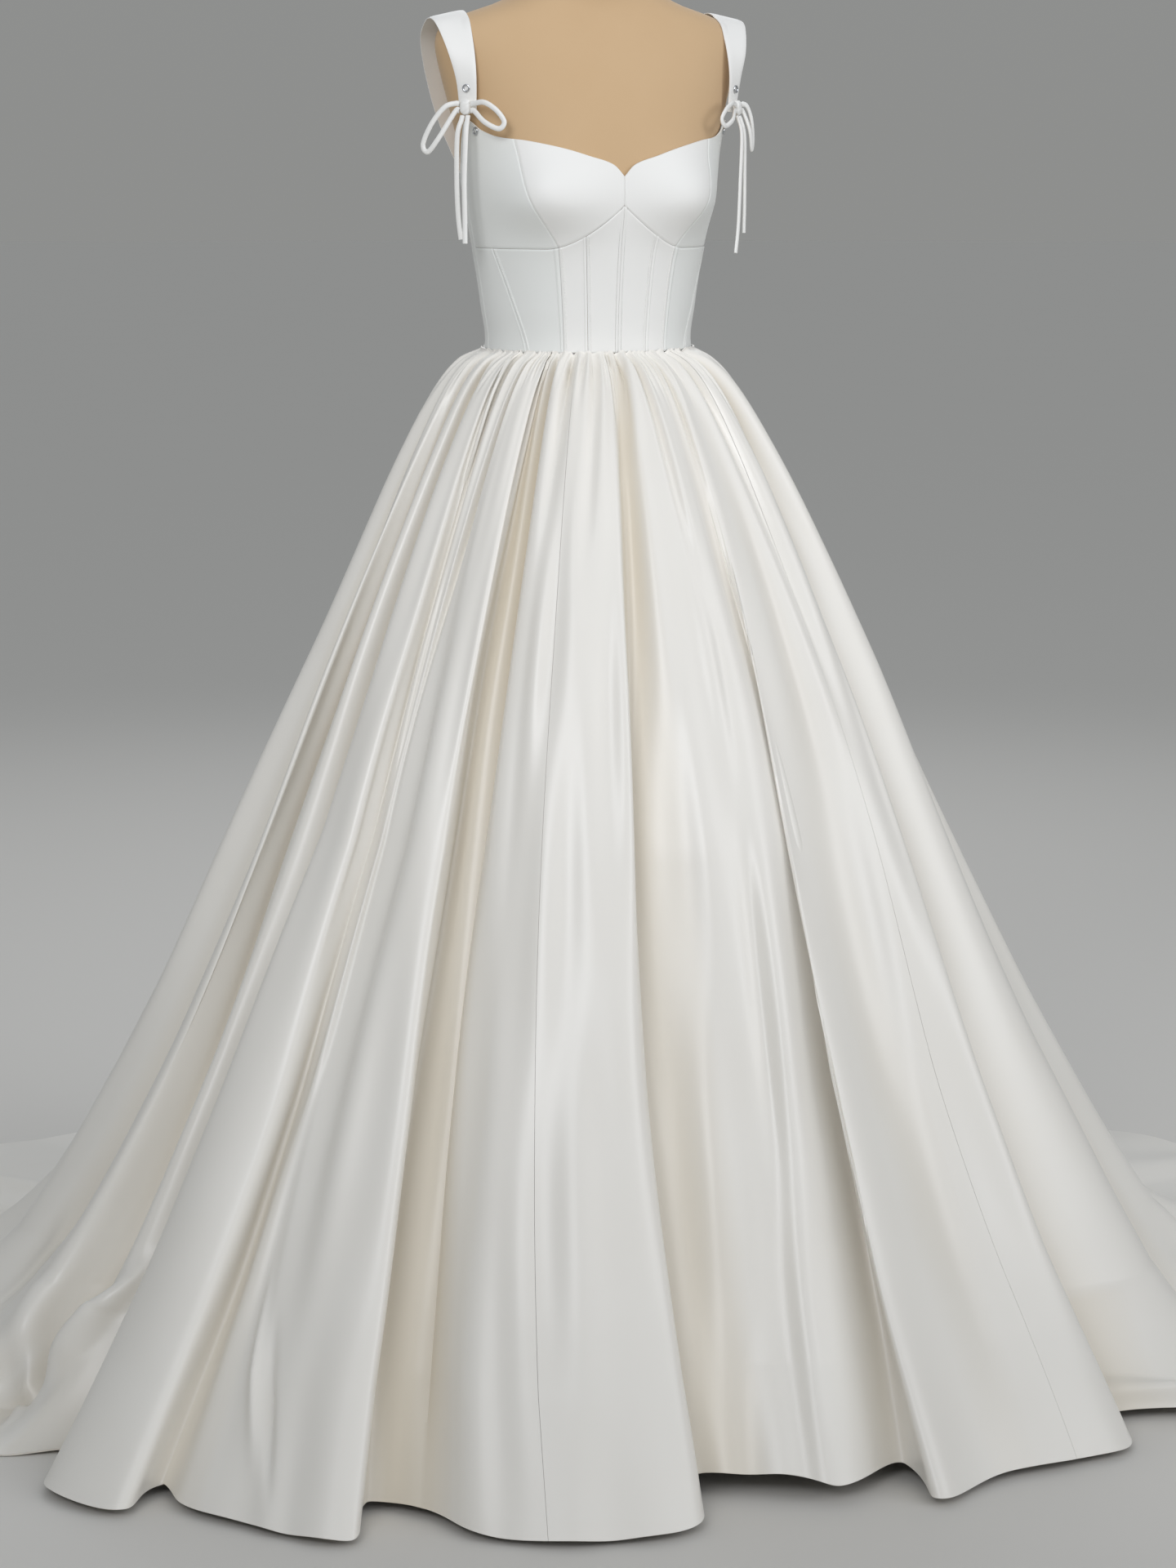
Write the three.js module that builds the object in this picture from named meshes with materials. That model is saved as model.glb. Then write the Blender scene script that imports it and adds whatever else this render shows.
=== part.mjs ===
// A satin ball gown with a spread sweep train, laced at the shoulders, on a limbless dress form.
// Millimetres, +Z up, the front faces -Y and +X is the wearer's left. The origin is on the floor,
// under the middle of the stand. An azimuth is in degrees, 0 at the front and positive towards +X.
import * as THREE from 'three';
import { RoundedBoxGeometry } from 'three/addons/geometries/RoundedBoxGeometry.js';

// Driving dimensions
const WAIST_Z = 1085;
const SEAM_GAP = 0.3;
const BODICE_CLOTH = 1.8;
const SKIRT_CLOTH = 1.8;
const STRAP_CLOTH = 1.6;
const FORM_CLEARANCE = 2;
const PANEL_ROWS = 6;
const GATHER = { depth: 2.6, fade: 55, uneven: 0.25, unevenTurn: 1.7 };
const WAIST_EASE = 1.2 * GATHER.depth;
const WAIST_FADE = 90;
const BELL_FLOOR_RADIUS = 700;
const MID_Z = 600;
const KNEE_Z = 120;
const FLOOR_BEND = 1.5 * KNEE_Z;
const FOLD_ONSET = 0.5;
const SWEPT_DEEPENS = 1.5;
const RIDGE_FALL = 0.7;
const TRAIN_HALF_WIDTH = 1080;
const TRAIN_HALF_DEPTH = 925;
const TRAIN_AXIS = 160;
const STRAP_REST = 0.7;
const STRAP_LIFT_STEP = 0.2;
const STRAP_COLUMNS = 4;
const TIE_RADIUS = 2.5;
const TIE_SIDES = 8;
const TIE_STEPS = 10;
const TIE_CLEARANCE = 1.2;
const EYELET_RADIUS = 4.2;
const EYELET_WIRE = 0.9;
const EYELET_WIRE_SIDES = 5;
const EYELET_SIDES = 10;
const POLE_RADIUS = 14;
const POLE_SIDES = 12;
const BASE_RADIUS = 165;
const BASE_HEIGHT = 14;
const BASE_RIM = 5;
const BASE_SLOPE = 12;
const BASE_SIDES = 32;
const FORM_BOTTOM_Z = 880;
const NECK_TOP_Z = 1530;
const NECK_CAP = { height: 16, foot: 2, shoulderLow: 4, shoulderHigh: 9, top: 6, sides: 24 };
const FORM_SIDES = 30;

// Heights of the form's rings, closer together where the figure bends most
const FORM_RINGS = [
  { from: FORM_BOTTOM_Z, to: 1040, rings: 4 },
  { from: 1060, to: 1320, rings: 14 },
  { from: 1340, to: 1400, rings: 4 },
  { from: 1412, to: 1457, rings: 7 },
  { from: 1470, to: 1490, rings: 2 },
  { from: NECK_TOP_Z, to: NECK_TOP_Z, rings: 1 },
];

// Sections of the figure, measured on the outside of the bodice cloth
const FIGURE = [
  { z: 880, side: 160, front: 112, back: 122 },
  { z: 945, side: 163, front: 110, back: 128 },
  { z: 1010, side: 146, front: 103, back: 116 },
  { z: 1085, side: 115, front: 94, back: 94 },
  { z: 1135, side: 119, front: 96, back: 96 },
  { z: 1193, side: 128, front: 103, back: 101 },
  { z: 1250, side: 138, front: 112, back: 104 },
  { z: 1305, side: 148, front: 108, back: 102 },
  { z: 1350, side: 160, front: 96, back: 96 },
  { z: 1390, side: 171, front: 80, back: 88 },
  { z: 1412, side: 174, front: 69, back: 80 },
  { z: 1428, side: 166, front: 60, back: 72 },
  { z: 1440, side: 141, front: 56, back: 66 },
  { z: 1452, side: 105, front: 54, back: 63 },
  { z: 1468, side: 76, front: 55, back: 61 },
  { z: 1490, side: 63, front: 55, back: 60 },
  { z: 1530, side: 58, front: 53, back: 57 },
];
const CUP = { azimuth: 38, z: 1246, rise: 21, spread: 25, above: 46, below: 34 };

// Edges of the bodice, by azimuth from the centre front
const NECKLINE = [
  { azimuth: 0, z: 1271 },
  { azimuth: 6, z: 1283 },
  { azimuth: 19, z: 1292 },
  { azimuth: 32, z: 1300 },
  { azimuth: 50, z: 1308 },
  { azimuth: 64, z: 1312 },
  { azimuth: 72, z: 1319 },
  { azimuth: 79, z: 1329 },
  { azimuth: 84, z: 1312 },
  { azimuth: 92, z: 1280 },
  { azimuth: 104, z: 1258 },
  { azimuth: 140, z: 1254 },
  { azimuth: 180, z: 1246 },
];
const UNDERBUST = { z: 1195, peak: 45, reach: 42, curve: 1.7 };

// Seams of one side of the bodice: azimuth at the waist, at the underbust seam and at the top edge
const SEAM = {
  centreFront: { waist: 0, underbust: 0, top: 0 },
  corsetCentre: { waist: 20, underbust: 21, top: 21 },
  cup: { waist: 35, underbust: 36, top: 56 },
  corsetDiagonal: { waist: 57, underbust: 74, top: 74 },
  side: { waist: 90, underbust: 90, top: 90 },
  sideBack: { waist: 135, underbust: 138, top: 140 },
  centreBack: { waist: 180, underbust: 180, top: 180 },
};

// The bell of the skirt: its radius by drop below the waist seam
const BELL = [
  { drop: 0, radius: 117 },
  { drop: 10, radius: 134 },
  { drop: 24, radius: 149 },
  { drop: 48, radius: 166 },
  { drop: 92, radius: 190 },
  { drop: 154, radius: 221 },
  { drop: 335, radius: 306 },
  { drop: 518, radius: 388 },
  { drop: 704, radius: 474 },
  { drop: 800, radius: 525 },
  { drop: 894, radius: 578 },
  { drop: 965, radius: 624 },
];

// Fold lines that stand clear of the floor, round the front: azimuths at the waist, at mid height and
// at the hem, out is how far the line stands off the bell at mid height, foot its radius at the hem and
// lift the height of the hem there. A line whose azimuth steps back is tucked under the fold before it.
const FRONT_FOLDS = [
  { waist: -68, mid: -66, hem: -63, out: 12, foot: 788, lift: 10 },
  { waist: -62, mid: -58.5, hem: -55, out: 12, foot: 786, lift: 8 },
  { waist: -60, mid: -58, hem: -55.5, out: -12, foot: 718, lift: 12 },
  { waist: -57, mid: -55.5, hem: -52, out: -2, foot: 744, lift: 10 },
  { waist: -51, mid: -54, hem: -46, out: -6, foot: 750, lift: 8 },
  { waist: -47, mid: -48, hem: -42, out: 16, foot: 758, lift: 8 },
  { waist: -43, mid: -42, hem: -37, out: 14, foot: 750, lift: 8 },
  { waist: -41, mid: -44, hem: -39, out: -36, foot: 664, lift: 10 },
  { waist: -37, mid: -39, hem: -34, out: -26, foot: 666, lift: 12 },
  { waist: -32, mid: -33, hem: -28, out: 4, foot: 712, lift: 8 },
  { waist: -26, mid: -27, hem: -23, out: 8, foot: 722, lift: 8 },
  { waist: -18, mid: -20, hem: -17, out: 12, foot: 716, lift: 8 },
  { waist: -11, mid: -13, hem: -11, out: 6, foot: 690, lift: 10 },
  { waist: -7, mid: -12.5, hem: -10, out: -32, foot: 596, lift: 22 },
  { waist: -2, mid: -4, hem: -6, out: -8, foot: 612, lift: 26 },
  { waist: 4, mid: 3, hem: -1, out: 2, foot: 634, lift: 26 },
  { waist: 10, mid: 8, hem: 2, out: 6, foot: 658, lift: 20 },
  { waist: 15, mid: 16.5, hem: 10, out: -8, foot: 624, lift: 18 },
  { waist: 20, mid: 13, hem: 9, out: 4, foot: 704, lift: 8 },
  { waist: 28, mid: 24, hem: 17, out: -6, foot: 686, lift: 10 },
  { waist: 37, mid: 31, hem: 24, out: 10, foot: 706, lift: 9 },
  { waist: 44, mid: 37, hem: 30, out: 16, foot: 722, lift: 8 },
  { waist: 48, mid: 40, hem: 34, out: -42, foot: 660, lift: 12 },
];

// Fold lines that sweep on to the floor at the wearer's left and right: reach is the radius of the hem
// and ridge how high the fold stands where it meets the floor
const LEFT_FOLDS = [
  { waist: 62, mid: 54, hem: 46, out: 18, reach: 850, ridge: 24 },
  { waist: 74, mid: 70, hem: 58, out: -16, reach: 965, ridge: 0 },
];
const RIGHT_FOLDS = [
  { waist: -104, mid: -99, hem: -104, out: 12, reach: 1000, ridge: 26 },
  { waist: -97, mid: -91, hem: -97, out: -16, reach: 900, ridge: 0 },
  { waist: -88, mid: -80, hem: -87, out: 14, reach: 815, ridge: 26 },
  { waist: -83, mid: -81, hem: -79, out: -28, reach: 722, ridge: 0 },
  { waist: -76, mid: -74, hem: -72, out: 4, reach: 772, ridge: 12 },
  { waist: -71, mid: -70, hem: -67, out: -26, reach: 690, ridge: 0 },
];

// Folds of the train round the back: crests and valleys in turn, turning a little on their way down
const TRAIN = {
  from: 71,
  to: 246,
  lines: 18,
  crestOut: 14,
  valleyOut: -20,
  sway: 2.5,
  swayTurn: 2.4,
  ridge: 24,
  twist: 11,
};

// Rows of the skirt: drops of the hanging part, then shares of the way from the knee row to the hem
const HANGING_DROPS = [SEAM_GAP / 2, 12, 36, 90, 210, 430, 700, WAIST_Z - KNEE_Z];
const SWEEP_SHARES = [0.28, 0.6, 1];
const COLUMNS_PER_FOLD = 4;

// One side's strap, from the eyelet end over the shoulder to the back of the bodice
const STRAP = [
  { x: 149, y: -42, z: 1338, width: 19, facing: 42, up: 4 },
  { x: 152, y: -44, z: 1375, width: 23, facing: 38, up: 12 },
  { x: 156, y: -35, z: 1408, width: 29, facing: 25, up: 35 },
  { x: 158, y: -14, z: 1433, width: 36, facing: 40, up: 72 },
  { x: 158, y: 12, z: 1438, width: 39, facing: 110, up: 76 },
  { x: 156, y: 42, z: 1424, width: 39, facing: 155, up: 50 },
  { x: 147, y: 66, z: 1390, width: 37, facing: 158, up: 28 },
  { x: 130, y: 84, z: 1340, width: 35, facing: 155, up: 14 },
  { x: 108, y: 92, z: 1290, width: 34, facing: 150, up: 4 },
  { x: 92, y: 97, z: 1256, width: 34, facing: 146, up: 0 },
];

// The ties: routes in millimetres from the middle of the knot, across to the viewer's right, out and up.
// A bow faces as the strap's end does, and each loop and tail starts at the knot.
const TIE_ROUTES = {
  right: {
    loop_front: [
      [6.7, 1, 3.4], [11, 2, 4], [24, 6, 5], [38, 7, -3], [47, 7, -15],
      [41, 8, -22], [25, 8, -15], [11, 2, -4], [6.7, 1, -3.4],
    ],
    loop_side: [
      [-7, 1, 3.4], [-11, 2, 4], [-22, 5, 0], [-36, 7, -17], [-46, 7, -38],
      [-40, 8, -46], [-27, 8, -31], [-11, 2, -4.4], [-7, 1, -3.4],
    ],
    tail_short: [
      [-3.1, 1, -8.7], [-3.4, 3, -13], [-7, 6, -30], [-8, 6, -75], [-7, 5, -112], [-4, 5, -137],
    ],
    tail_long: [
      [3.1, 1, -8.7], [3.3, 3, -13], [4, 9, -30], [2, 9, -75], [2, 8, -115], [2, 8, -141],
    ],
  },
  left: {
    loop_front: [
      [-6.7, 1, 3.4], [-11, 2, 4], [-23, 5, 5], [-40, 6, -2], [-50, 6, -12],
      [-43, 7, -19], [-26, 7, -13], [-11, 2, -4], [-6.7, 1, -3.4],
    ],
    loop_side: [
      [7, 1, 3.4], [11, 2, 4], [17, 4, 1], [23, 6, -12], [27, 6, -32],
      [22, 7, -44], [15, 8, -24], [11, 2, -4.4], [7, 1, -3.4],
    ],
    tail_short: [
      [3.1, 1, -8.7], [3.3, 3, -13], [4, 7, -30], [3, 8, -70], [3, 8, -105], [2, 8, -133],
    ],
    tail_long: [
      [-3.1, 1, -8.7], [-3.3, 3, -13], [-5, 8, -30], [-8, 8, -80], [-12, 8, -125], [-18, 8, -154],
    ],
  },
};
const KNOT = { wide: 12, deep: 8, tall: 16, round: 2.4, steps: 2, strapRow: 0.25, near: 12.5, rest: 1.1 };
const EYELET = { strapRow: 1.3, azimuth: 74, z: 1318 };

// Finishes
const ivorySatin = new THREE.MeshStandardMaterial({ color: '#f4eee2', roughness: 0.38 });
const whiteSatin = new THREE.MeshStandardMaterial({ color: '#f3f3f0', roughness: 0.5 });
const formCloth = new THREE.MeshStandardMaterial({ color: '#c8aa82', roughness: 0.85 });
const standMetal = new THREE.MeshStandardMaterial({ color: '#8d8f92', roughness: 0.35, metalness: 1 });
const silver = new THREE.MeshStandardMaterial({ color: '#c9cbce', roughness: 0.25, metalness: 1 });

const gown = new THREE.Group();

// Numbers and points
const radians = THREE.MathUtils.degToRad;
const lerp = THREE.MathUtils.lerp;
const clamp = THREE.MathUtils.clamp;
const count = (n) => Array.from({ length: n }, (_, i) => i);
const spaced = (from, to, n) => count(n).map((i) => lerp(from, to, i / Math.max(n - 1, 1)));
const outwards = (azimuth) => new THREE.Vector3(Math.sin(radians(azimuth)), -Math.cos(radians(azimuth)), 0);
const polar = (azimuth, radius, z) => outwards(azimuth).multiplyScalar(radius).setZ(z);

// A column of a table at any place along another column, on a smooth curve that keeps to its rows
function along(rows, key, column, at) {
  const last = rows.length - 1;
  const i = clamp(rows.findIndex((row) => row[key] > at) - 1, 0, last - 1);
  const k = at >= rows[last][key] ? last - 1 : i;
  const slope = (j) => {
    const a = rows[Math.max(j - 1, 0)];
    const b = rows[Math.min(j + 1, last)];
    return (b[column] - a[column]) / (b[key] - a[key]);
  };
  const span = rows[k + 1][key] - rows[k][key];
  const t = clamp((at - rows[k][key]) / span, 0, 1);
  const ease = t * t * (3 - 2 * t);
  return (
    lerp(rows[k][column], rows[k + 1][column], ease) +
    span * t * (1 - t) * ((1 - t) * slope(k) - t * slope(k + 1))
  );
}

// Triangles of a grid of points, wound so that they face away from the inside
function gridFaces(grid, flip, positions) {
  for (let r = 0; r + 1 < grid.length; r += 1) {
    for (let c = 0; c + 1 < grid[r].length; c += 1) {
      const [a, b, d, e] = [grid[r][c], grid[r][c + 1], grid[r + 1][c + 1], grid[r + 1][c]];
      const corners = flip ? [a, d, b, a, e, d] : [a, b, d, a, d, e];
      for (const p of corners) positions.push(p.x, p.y, p.z);
    }
  }
}

// A closed wall between an outer and an inner grid, rows from low to high, columns by rising azimuth
function wall(outer, inner) {
  const positions = [];
  const last = outer[0].length - 1;
  const rim = (pick) => [pick(inner), pick(outer)];
  const side = (c) => rim((grid) => grid.map((row) => row[c]));
  gridFaces(outer, false, positions);
  gridFaces(inner, true, positions);
  gridFaces(rim((grid) => grid[0]), false, positions);
  gridFaces(rim((grid) => grid[grid.length - 1]), true, positions);
  gridFaces(side(0), true, positions);
  gridFaces(side(last), false, positions);
  return geometryOf(positions);
}

function geometryOf(positions) {
  const geometry = new THREE.BufferGeometry();
  geometry.setAttribute('position', new THREE.Float32BufferAttribute(positions, 3));
  geometry.computeVertexNormals();
  return geometry;
}

// Normals of a grid, from each point's neighbours; a closed grid runs on from its last column
function gridNormals(grid, closed) {
  const cols = grid[0].length;
  const step = (c, by) => (closed ? (c + by + cols) % cols : clamp(c + by, 0, cols - 1));
  return grid.map((row, r) =>
    row.map((_, c) => {
      const across = row[step(c, 1)].clone().sub(row[step(c, -1)]);
      const up = grid[Math.min(r + 1, grid.length - 1)][c].clone().sub(grid[Math.max(r - 1, 0)][c]);
      return across.cross(up).normalize();
    }),
  );
}

function addPiece(name, geometry, material) {
  const mesh = new THREE.Mesh(geometry, material);
  mesh.name = name;
  gown.add(mesh);
}

// The figure
function cupRise(azimuth, z) {
  const upDown = (z - CUP.z) / (z > CUP.z ? CUP.above : CUP.below);
  const across = (Math.abs(azimuth) - CUP.azimuth) / CUP.spread;
  return CUP.rise * Math.exp(-across * across - upDown * upDown);
}

function figureRadius(azimuth, z) {
  const facing = ((azimuth + 540) % 360) - 180;
  const depth = along(FIGURE, 'z', Math.abs(facing) < 90 ? 'front' : 'back', z);
  const x = Math.sin(radians(facing)) / along(FIGURE, 'z', 'side', z);
  const y = Math.cos(radians(facing)) / depth;
  return 1 / Math.hypot(x, y) + cupRise(facing, z);
}

const figurePoint = (azimuth, z, off = 0) => polar(azimuth, figureRadius(azimuth, z) + off, z);

// Bodice panels
const topEdge = (azimuth) => along(NECKLINE, 'azimuth', 'z', Math.abs(azimuth));
const underbustEdge = (azimuth) =>
  UNDERBUST.z + UNDERBUST.peak * clamp(1 - azimuth / UNDERBUST.reach, 0, 1) ** UNDERBUST.curve;

// Stations across a panel, from one seam to the next, as azimuths at its lower and upper edges
function stations(from, to, lower, upper, parts) {
  return count(parts + 1).map((i) => ({
    low: lerp(from[lower], to[lower], i / parts),
    high: lerp(from[upper], to[upper], i / parts),
  }));
}

function bodicePanel(name, sign, across, lowEdge, highEdge, rows) {
  const half = SEAM_GAP / 2;
  const last = across.length - 1;
  const pointAt = (station, i, share, off) => {
    const azimuth = lerp(station.low, station.high, share);
    const low = lowEdge(azimuth) + half;
    const high = highEdge(azimuth) - half;
    const z = lerp(low, high, share);
    const inset = THREE.MathUtils.radToDeg(half / figureRadius(azimuth, z));
    const shift = i === 0 ? inset : i === last ? -inset : 0;
    return figurePoint(sign * (azimuth + shift), z, off);
  };
  const layer = (off) =>
    count(rows + 1).map((r) => {
      const row = across.map((station, i) => pointAt(station, i, r / rows, off));
      return sign > 0 ? row : row.reverse();
    });
  addPiece(name, wall(layer(0), layer(-BODICE_CLOTH)), whiteSatin);
}

function bodiceSide(side, sign) {
  const waistEdge = () => WAIST_Z;
  const panels = [
    { name: 'corset_centre', from: 'centreFront', to: 'corsetCentre', parts: 3 },
    { name: 'corset_front', from: 'corsetCentre', to: 'cup', parts: 3 },
    { name: 'corset_side_front', from: 'cup', to: 'corsetDiagonal', parts: 6 },
    { name: 'corset_side', from: 'corsetDiagonal', to: 'side', parts: 4 },
  ];
  for (const { name, from, to, parts } of panels) {
    const across = stations(SEAM[from], SEAM[to], 'waist', 'underbust', parts);
    bodicePanel(`${name}_${side}`, sign, across, waistEdge, underbustEdge, PANEL_ROWS);
  }
  cupPanel('cup_inner', side, sign, panels.slice(0, 2), SEAM.centreFront, SEAM.cup);
  cupPanel('cup_outer', side, sign, panels.slice(2), SEAM.cup, SEAM.side);
  const backs = [
    { name: 'back_side', from: 'side', to: 'sideBack', parts: 5 },
    { name: 'back_centre', from: 'sideBack', to: 'centreBack', parts: 5 },
  ];
  for (const { name, from, to, parts } of backs) {
    const across = stations(SEAM[from], SEAM[to], 'waist', 'top', parts);
    bodicePanel(`${name}_${side}`, sign, across, waistEdge, topEdge, PANEL_ROWS);
  }
}

// A cup's lower edge takes its stations from the corset panels that it is sewn to
function cupPanel(name, side, sign, below, from, to) {
  const lows = below.flatMap((panel, i) =>
    stations(SEAM[panel.from], SEAM[panel.to], 'underbust', 'underbust', panel.parts).slice(i ? 1 : 0),
  );
  const share = (low) => (low - from.underbust) / (to.underbust - from.underbust);
  const across = lows.map(({ low }) => ({ low, high: lerp(from.top, to.top, share(low)) }));
  bodicePanel(`${name}_${side}`, sign, across, underbustEdge, topEdge, PANEL_ROWS);
}

// The dress form and its stand
function formTorso() {
  const inset = -(BODICE_CLOTH + FORM_CLEARANCE);
  const heights = FORM_RINGS.flatMap(({ from, to, rings }) => spaced(from, to, rings));
  const turn = (i) => ((i % FORM_SIDES) * 360) / FORM_SIDES;
  const rings = heights.map((z) => count(FORM_SIDES + 1).map((i) => figurePoint(turn(i), z, inset)));
  const positions = [];
  gridFaces(rings, false, positions);
  const cap = (ring, z, flip) => {
    const middle = ring.map(() => new THREE.Vector3(0, 0, z));
    const rows = flip ? [middle, ring] : [ring, middle];
    gridFaces(rows, false, positions);
  };
  cap(rings[0], FORM_BOTTOM_Z, true);
  cap(rings[rings.length - 1], NECK_TOP_Z, false);
  addPiece('form_torso', withoutSlivers(positions), formCloth);
}

// Drops the triangles that have two corners at one point
function withoutSlivers(positions) {
  const kept = [];
  const corner = (i) => new THREE.Vector3().fromArray(positions, i);
  for (let i = 0; i < positions.length; i += 9) {
    const [a, b, c] = [corner(i), corner(i + 3), corner(i + 6)];
    const thin = a.equals(b) || b.equals(c) || c.equals(a);
    if (!thin) kept.push(...positions.slice(i, i + 9));
  }
  return geometryOf(kept);
}

function turnedPiece(name, profile, z, sides) {
  const points = profile.map(([radius, height]) => new THREE.Vector2(radius, height));
  const geometry = new THREE.LatheGeometry(points, sides);
  geometry.rotateX(Math.PI / 2);
  geometry.translate(0, 0, z);
  addPiece(name, geometry, standMetal);
}

function stand() {
  const neck = FIGURE[FIGURE.length - 1].front - BODICE_CLOTH;
  const poleLength = FORM_BOTTOM_Z - BASE_HEIGHT - 2 * SEAM_GAP;
  const capProfile = [
    [0, 0],
    [neck - NECK_CAP.foot, 0],
    [neck, NECK_CAP.shoulderLow],
    [neck, NECK_CAP.shoulderHigh],
    [neck - NECK_CAP.top, NECK_CAP.height],
    [0, NECK_CAP.height],
  ];
  const poleProfile = [[0, 0], [POLE_RADIUS, 0], [POLE_RADIUS, poleLength], [0, poleLength]];
  const baseProfile = [
    [0, 0],
    [BASE_RADIUS, 0],
    [BASE_RADIUS, BASE_RIM],
    [BASE_RADIUS - BASE_SLOPE, BASE_HEIGHT],
    [0, BASE_HEIGHT],
  ];
  turnedPiece('form_neck_cap', capProfile, NECK_TOP_Z + SEAM_GAP, NECK_CAP.sides);
  turnedPiece('stand_pole', poleProfile, BASE_HEIGHT + SEAM_GAP, POLE_SIDES);
  turnedPiece('stand_base', baseProfile, 0, BASE_SIDES);
}

// The straps and the ties
const formRadius = (azimuth, z) => figureRadius(azimuth, z) - BODICE_CLOTH - FORM_CLEARANCE;
const azimuthOf = (p) => THREE.MathUtils.radToDeg(Math.atan2(p.x, -p.y));

function liftOffForm(point, direction) {
  const inside = () => Math.hypot(point.x, point.y) < formRadius(azimuthOf(point), point.z) + STRAP_REST;
  while (inside()) point.addScaledVector(direction, STRAP_LIFT_STEP);
  return point;
}

// A strap's stations: its middle, the way across it and the way out of it
function strapStations(sign) {
  const curve = new THREE.CatmullRomCurve3(STRAP.map(({ x, y, z }) => new THREE.Vector3(sign * x, y, z)));
  const parts = 2 * (STRAP.length - 1);
  const rows = STRAP.map((row, i) => ({ ...row, share: i / (STRAP.length - 1) }));
  return count(parts + 1).map((i) => {
    const share = i / parts;
    const facing = sign * along(rows, 'share', 'facing', share);
    const up = radians(along(rows, 'share', 'up', share));
    const tangent = curve.getTangent(share);
    const faced = outwards(facing).multiplyScalar(Math.cos(up)).setZ(Math.sin(up));
    const across = faced.clone().cross(tangent).normalize();
    const out = tangent.clone().cross(across).normalize();
    return { middle: curve.getPoint(share), across, out, width: along(rows, 'share', 'width', share) };
  });
}

function strap(side, sign) {
  const places = strapStations(sign);
  const inner = places.map(({ middle, across, out, width }) =>
    count(STRAP_COLUMNS + 1).map((c) => {
      const point = middle.clone().addScaledVector(across, width * (0.5 - c / STRAP_COLUMNS));
      return liftOffForm(point, out);
    }),
  );
  const lifted = (row, r) => row.map((p) => p.clone().addScaledVector(places[r].out, STRAP_CLOTH));
  const outer = inner.map(lifted);
  addPiece(`strap_${side}`, wall(outer, inner), whiteSatin);
  const onStrap = (row) => {
    const r = Math.floor(row);
    const middle = STRAP_COLUMNS / 2;
    return outer[r][middle].clone().lerp(outer[r + 1][middle], row - r);
  };
  eyelet(`eyelet_strap_${side}`, onStrap(EYELET.strapRow), places[1].out);
  const spot = (azimuth, z) => figurePoint(sign * azimuth, z);
  const wide = spot(EYELET.azimuth + 1, EYELET.z).sub(spot(EYELET.azimuth - 1, EYELET.z));
  const tall = spot(EYELET.azimuth, EYELET.z + 1).sub(spot(EYELET.azimuth, EYELET.z - 1));
  const out = wide.cross(tall).multiplyScalar(sign).normalize();
  eyelet(`eyelet_bodice_${side}`, spot(EYELET.azimuth, EYELET.z), out);
  const knot = onStrap(KNOT.strapRow).addScaledVector(places[0].out, KNOT.deep / 2 + KNOT.rest);
  tie(side, sign * STRAP[0].facing, knot);
}

function eyelet(name, seat, out) {
  const ringRadius = EYELET_RADIUS - EYELET_WIRE;
  const geometry = new THREE.TorusGeometry(ringRadius, EYELET_WIRE, EYELET_WIRE_SIDES, EYELET_SIDES);
  const mesh = new THREE.Mesh(geometry, silver);
  mesh.name = name;
  mesh.quaternion.setFromUnitVectors(new THREE.Vector3(0, 0, 1), out);
  mesh.position.copy(seat).addScaledVector(out, EYELET_WIRE + SEAM_GAP);
  gown.add(mesh);
}

// A bow: its knot lies on the end of the strap, and the loops and tails leave the knot's faces
function tie(side, facing, knot) {
  const across = new THREE.Vector3(Math.cos(radians(facing)), Math.sin(radians(facing)), 0);
  const block = new RoundedBoxGeometry(KNOT.wide, KNOT.deep, KNOT.tall, KNOT.steps, KNOT.round);
  block.rotateZ(radians(facing));
  block.translate(knot.x, knot.y, knot.z);
  addPiece(`tie_knot_${side}`, block, whiteSatin);
  for (const [name, route] of Object.entries(TIE_ROUTES[side])) {
    const points = route.map(([right, out, up]) => {
      const p = knot.clone().addScaledVector(across, right).addScaledVector(outwards(facing), out);
      p.setZ(knot.z + up);
      return p.distanceTo(knot) < KNOT.near ? p : clearOfBodice(p);
    });
    addPiece(`tie_${name}_${side}`, cordAlong(points), whiteSatin);
  }
}

function clearOfBodice(point) {
  const azimuth = azimuthOf(point);
  const least = figureRadius(azimuth, point.z) + TIE_RADIUS + TIE_CLEARANCE;
  return Math.hypot(point.x, point.y) < least ? polar(azimuth, least, point.z) : point;
}

function cordAlong(points) {
  const section = new THREE.Shape();
  const turn = (i) => (2 * Math.PI * i) / TIE_SIDES;
  const corners = count(TIE_SIDES).map((i) => new THREE.Vector2(Math.cos(turn(i)), Math.sin(turn(i))));
  section.setFromPoints(corners.map((corner) => corner.multiplyScalar(TIE_RADIUS)));
  const extrudePath = new THREE.CatmullRomCurve3(points);
  return new THREE.ExtrudeGeometry(section, { steps: TIE_STEPS, extrudePath, bevelEnabled: false });
}

// The skirt
function trainReach(azimuth) {
  const turnedFrom = radians(azimuth - TRAIN_AXIS);
  return 1 / Math.hypot(Math.sin(turnedFrom) / TRAIN_HALF_WIDTH, Math.cos(turnedFrom) / TRAIN_HALF_DEPTH);
}

const sweptFold = ({ reach, ...fold }) => ({ ...fold, foot: reach, lift: SKIRT_CLOTH, swept: true });

function trainFolds() {
  return count(TRAIN.lines).map((i) => {
    const share = i / (TRAIN.lines - 1);
    const hem = lerp(TRAIN.from, TRAIN.to, share) + TRAIN.sway * Math.sin(TRAIN.swayTurn * i);
    const turn = TRAIN.twist * (1 - share);
    const crest = i % 2 === 0;
    return sweptFold({
      waist: hem + turn,
      mid: hem + turn / 2,
      hem,
      out: crest ? TRAIN.crestOut : TRAIN.valleyOut,
      reach: trainReach(hem),
      ridge: crest ? TRAIN.ridge : 0,
    });
  });
}

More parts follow.
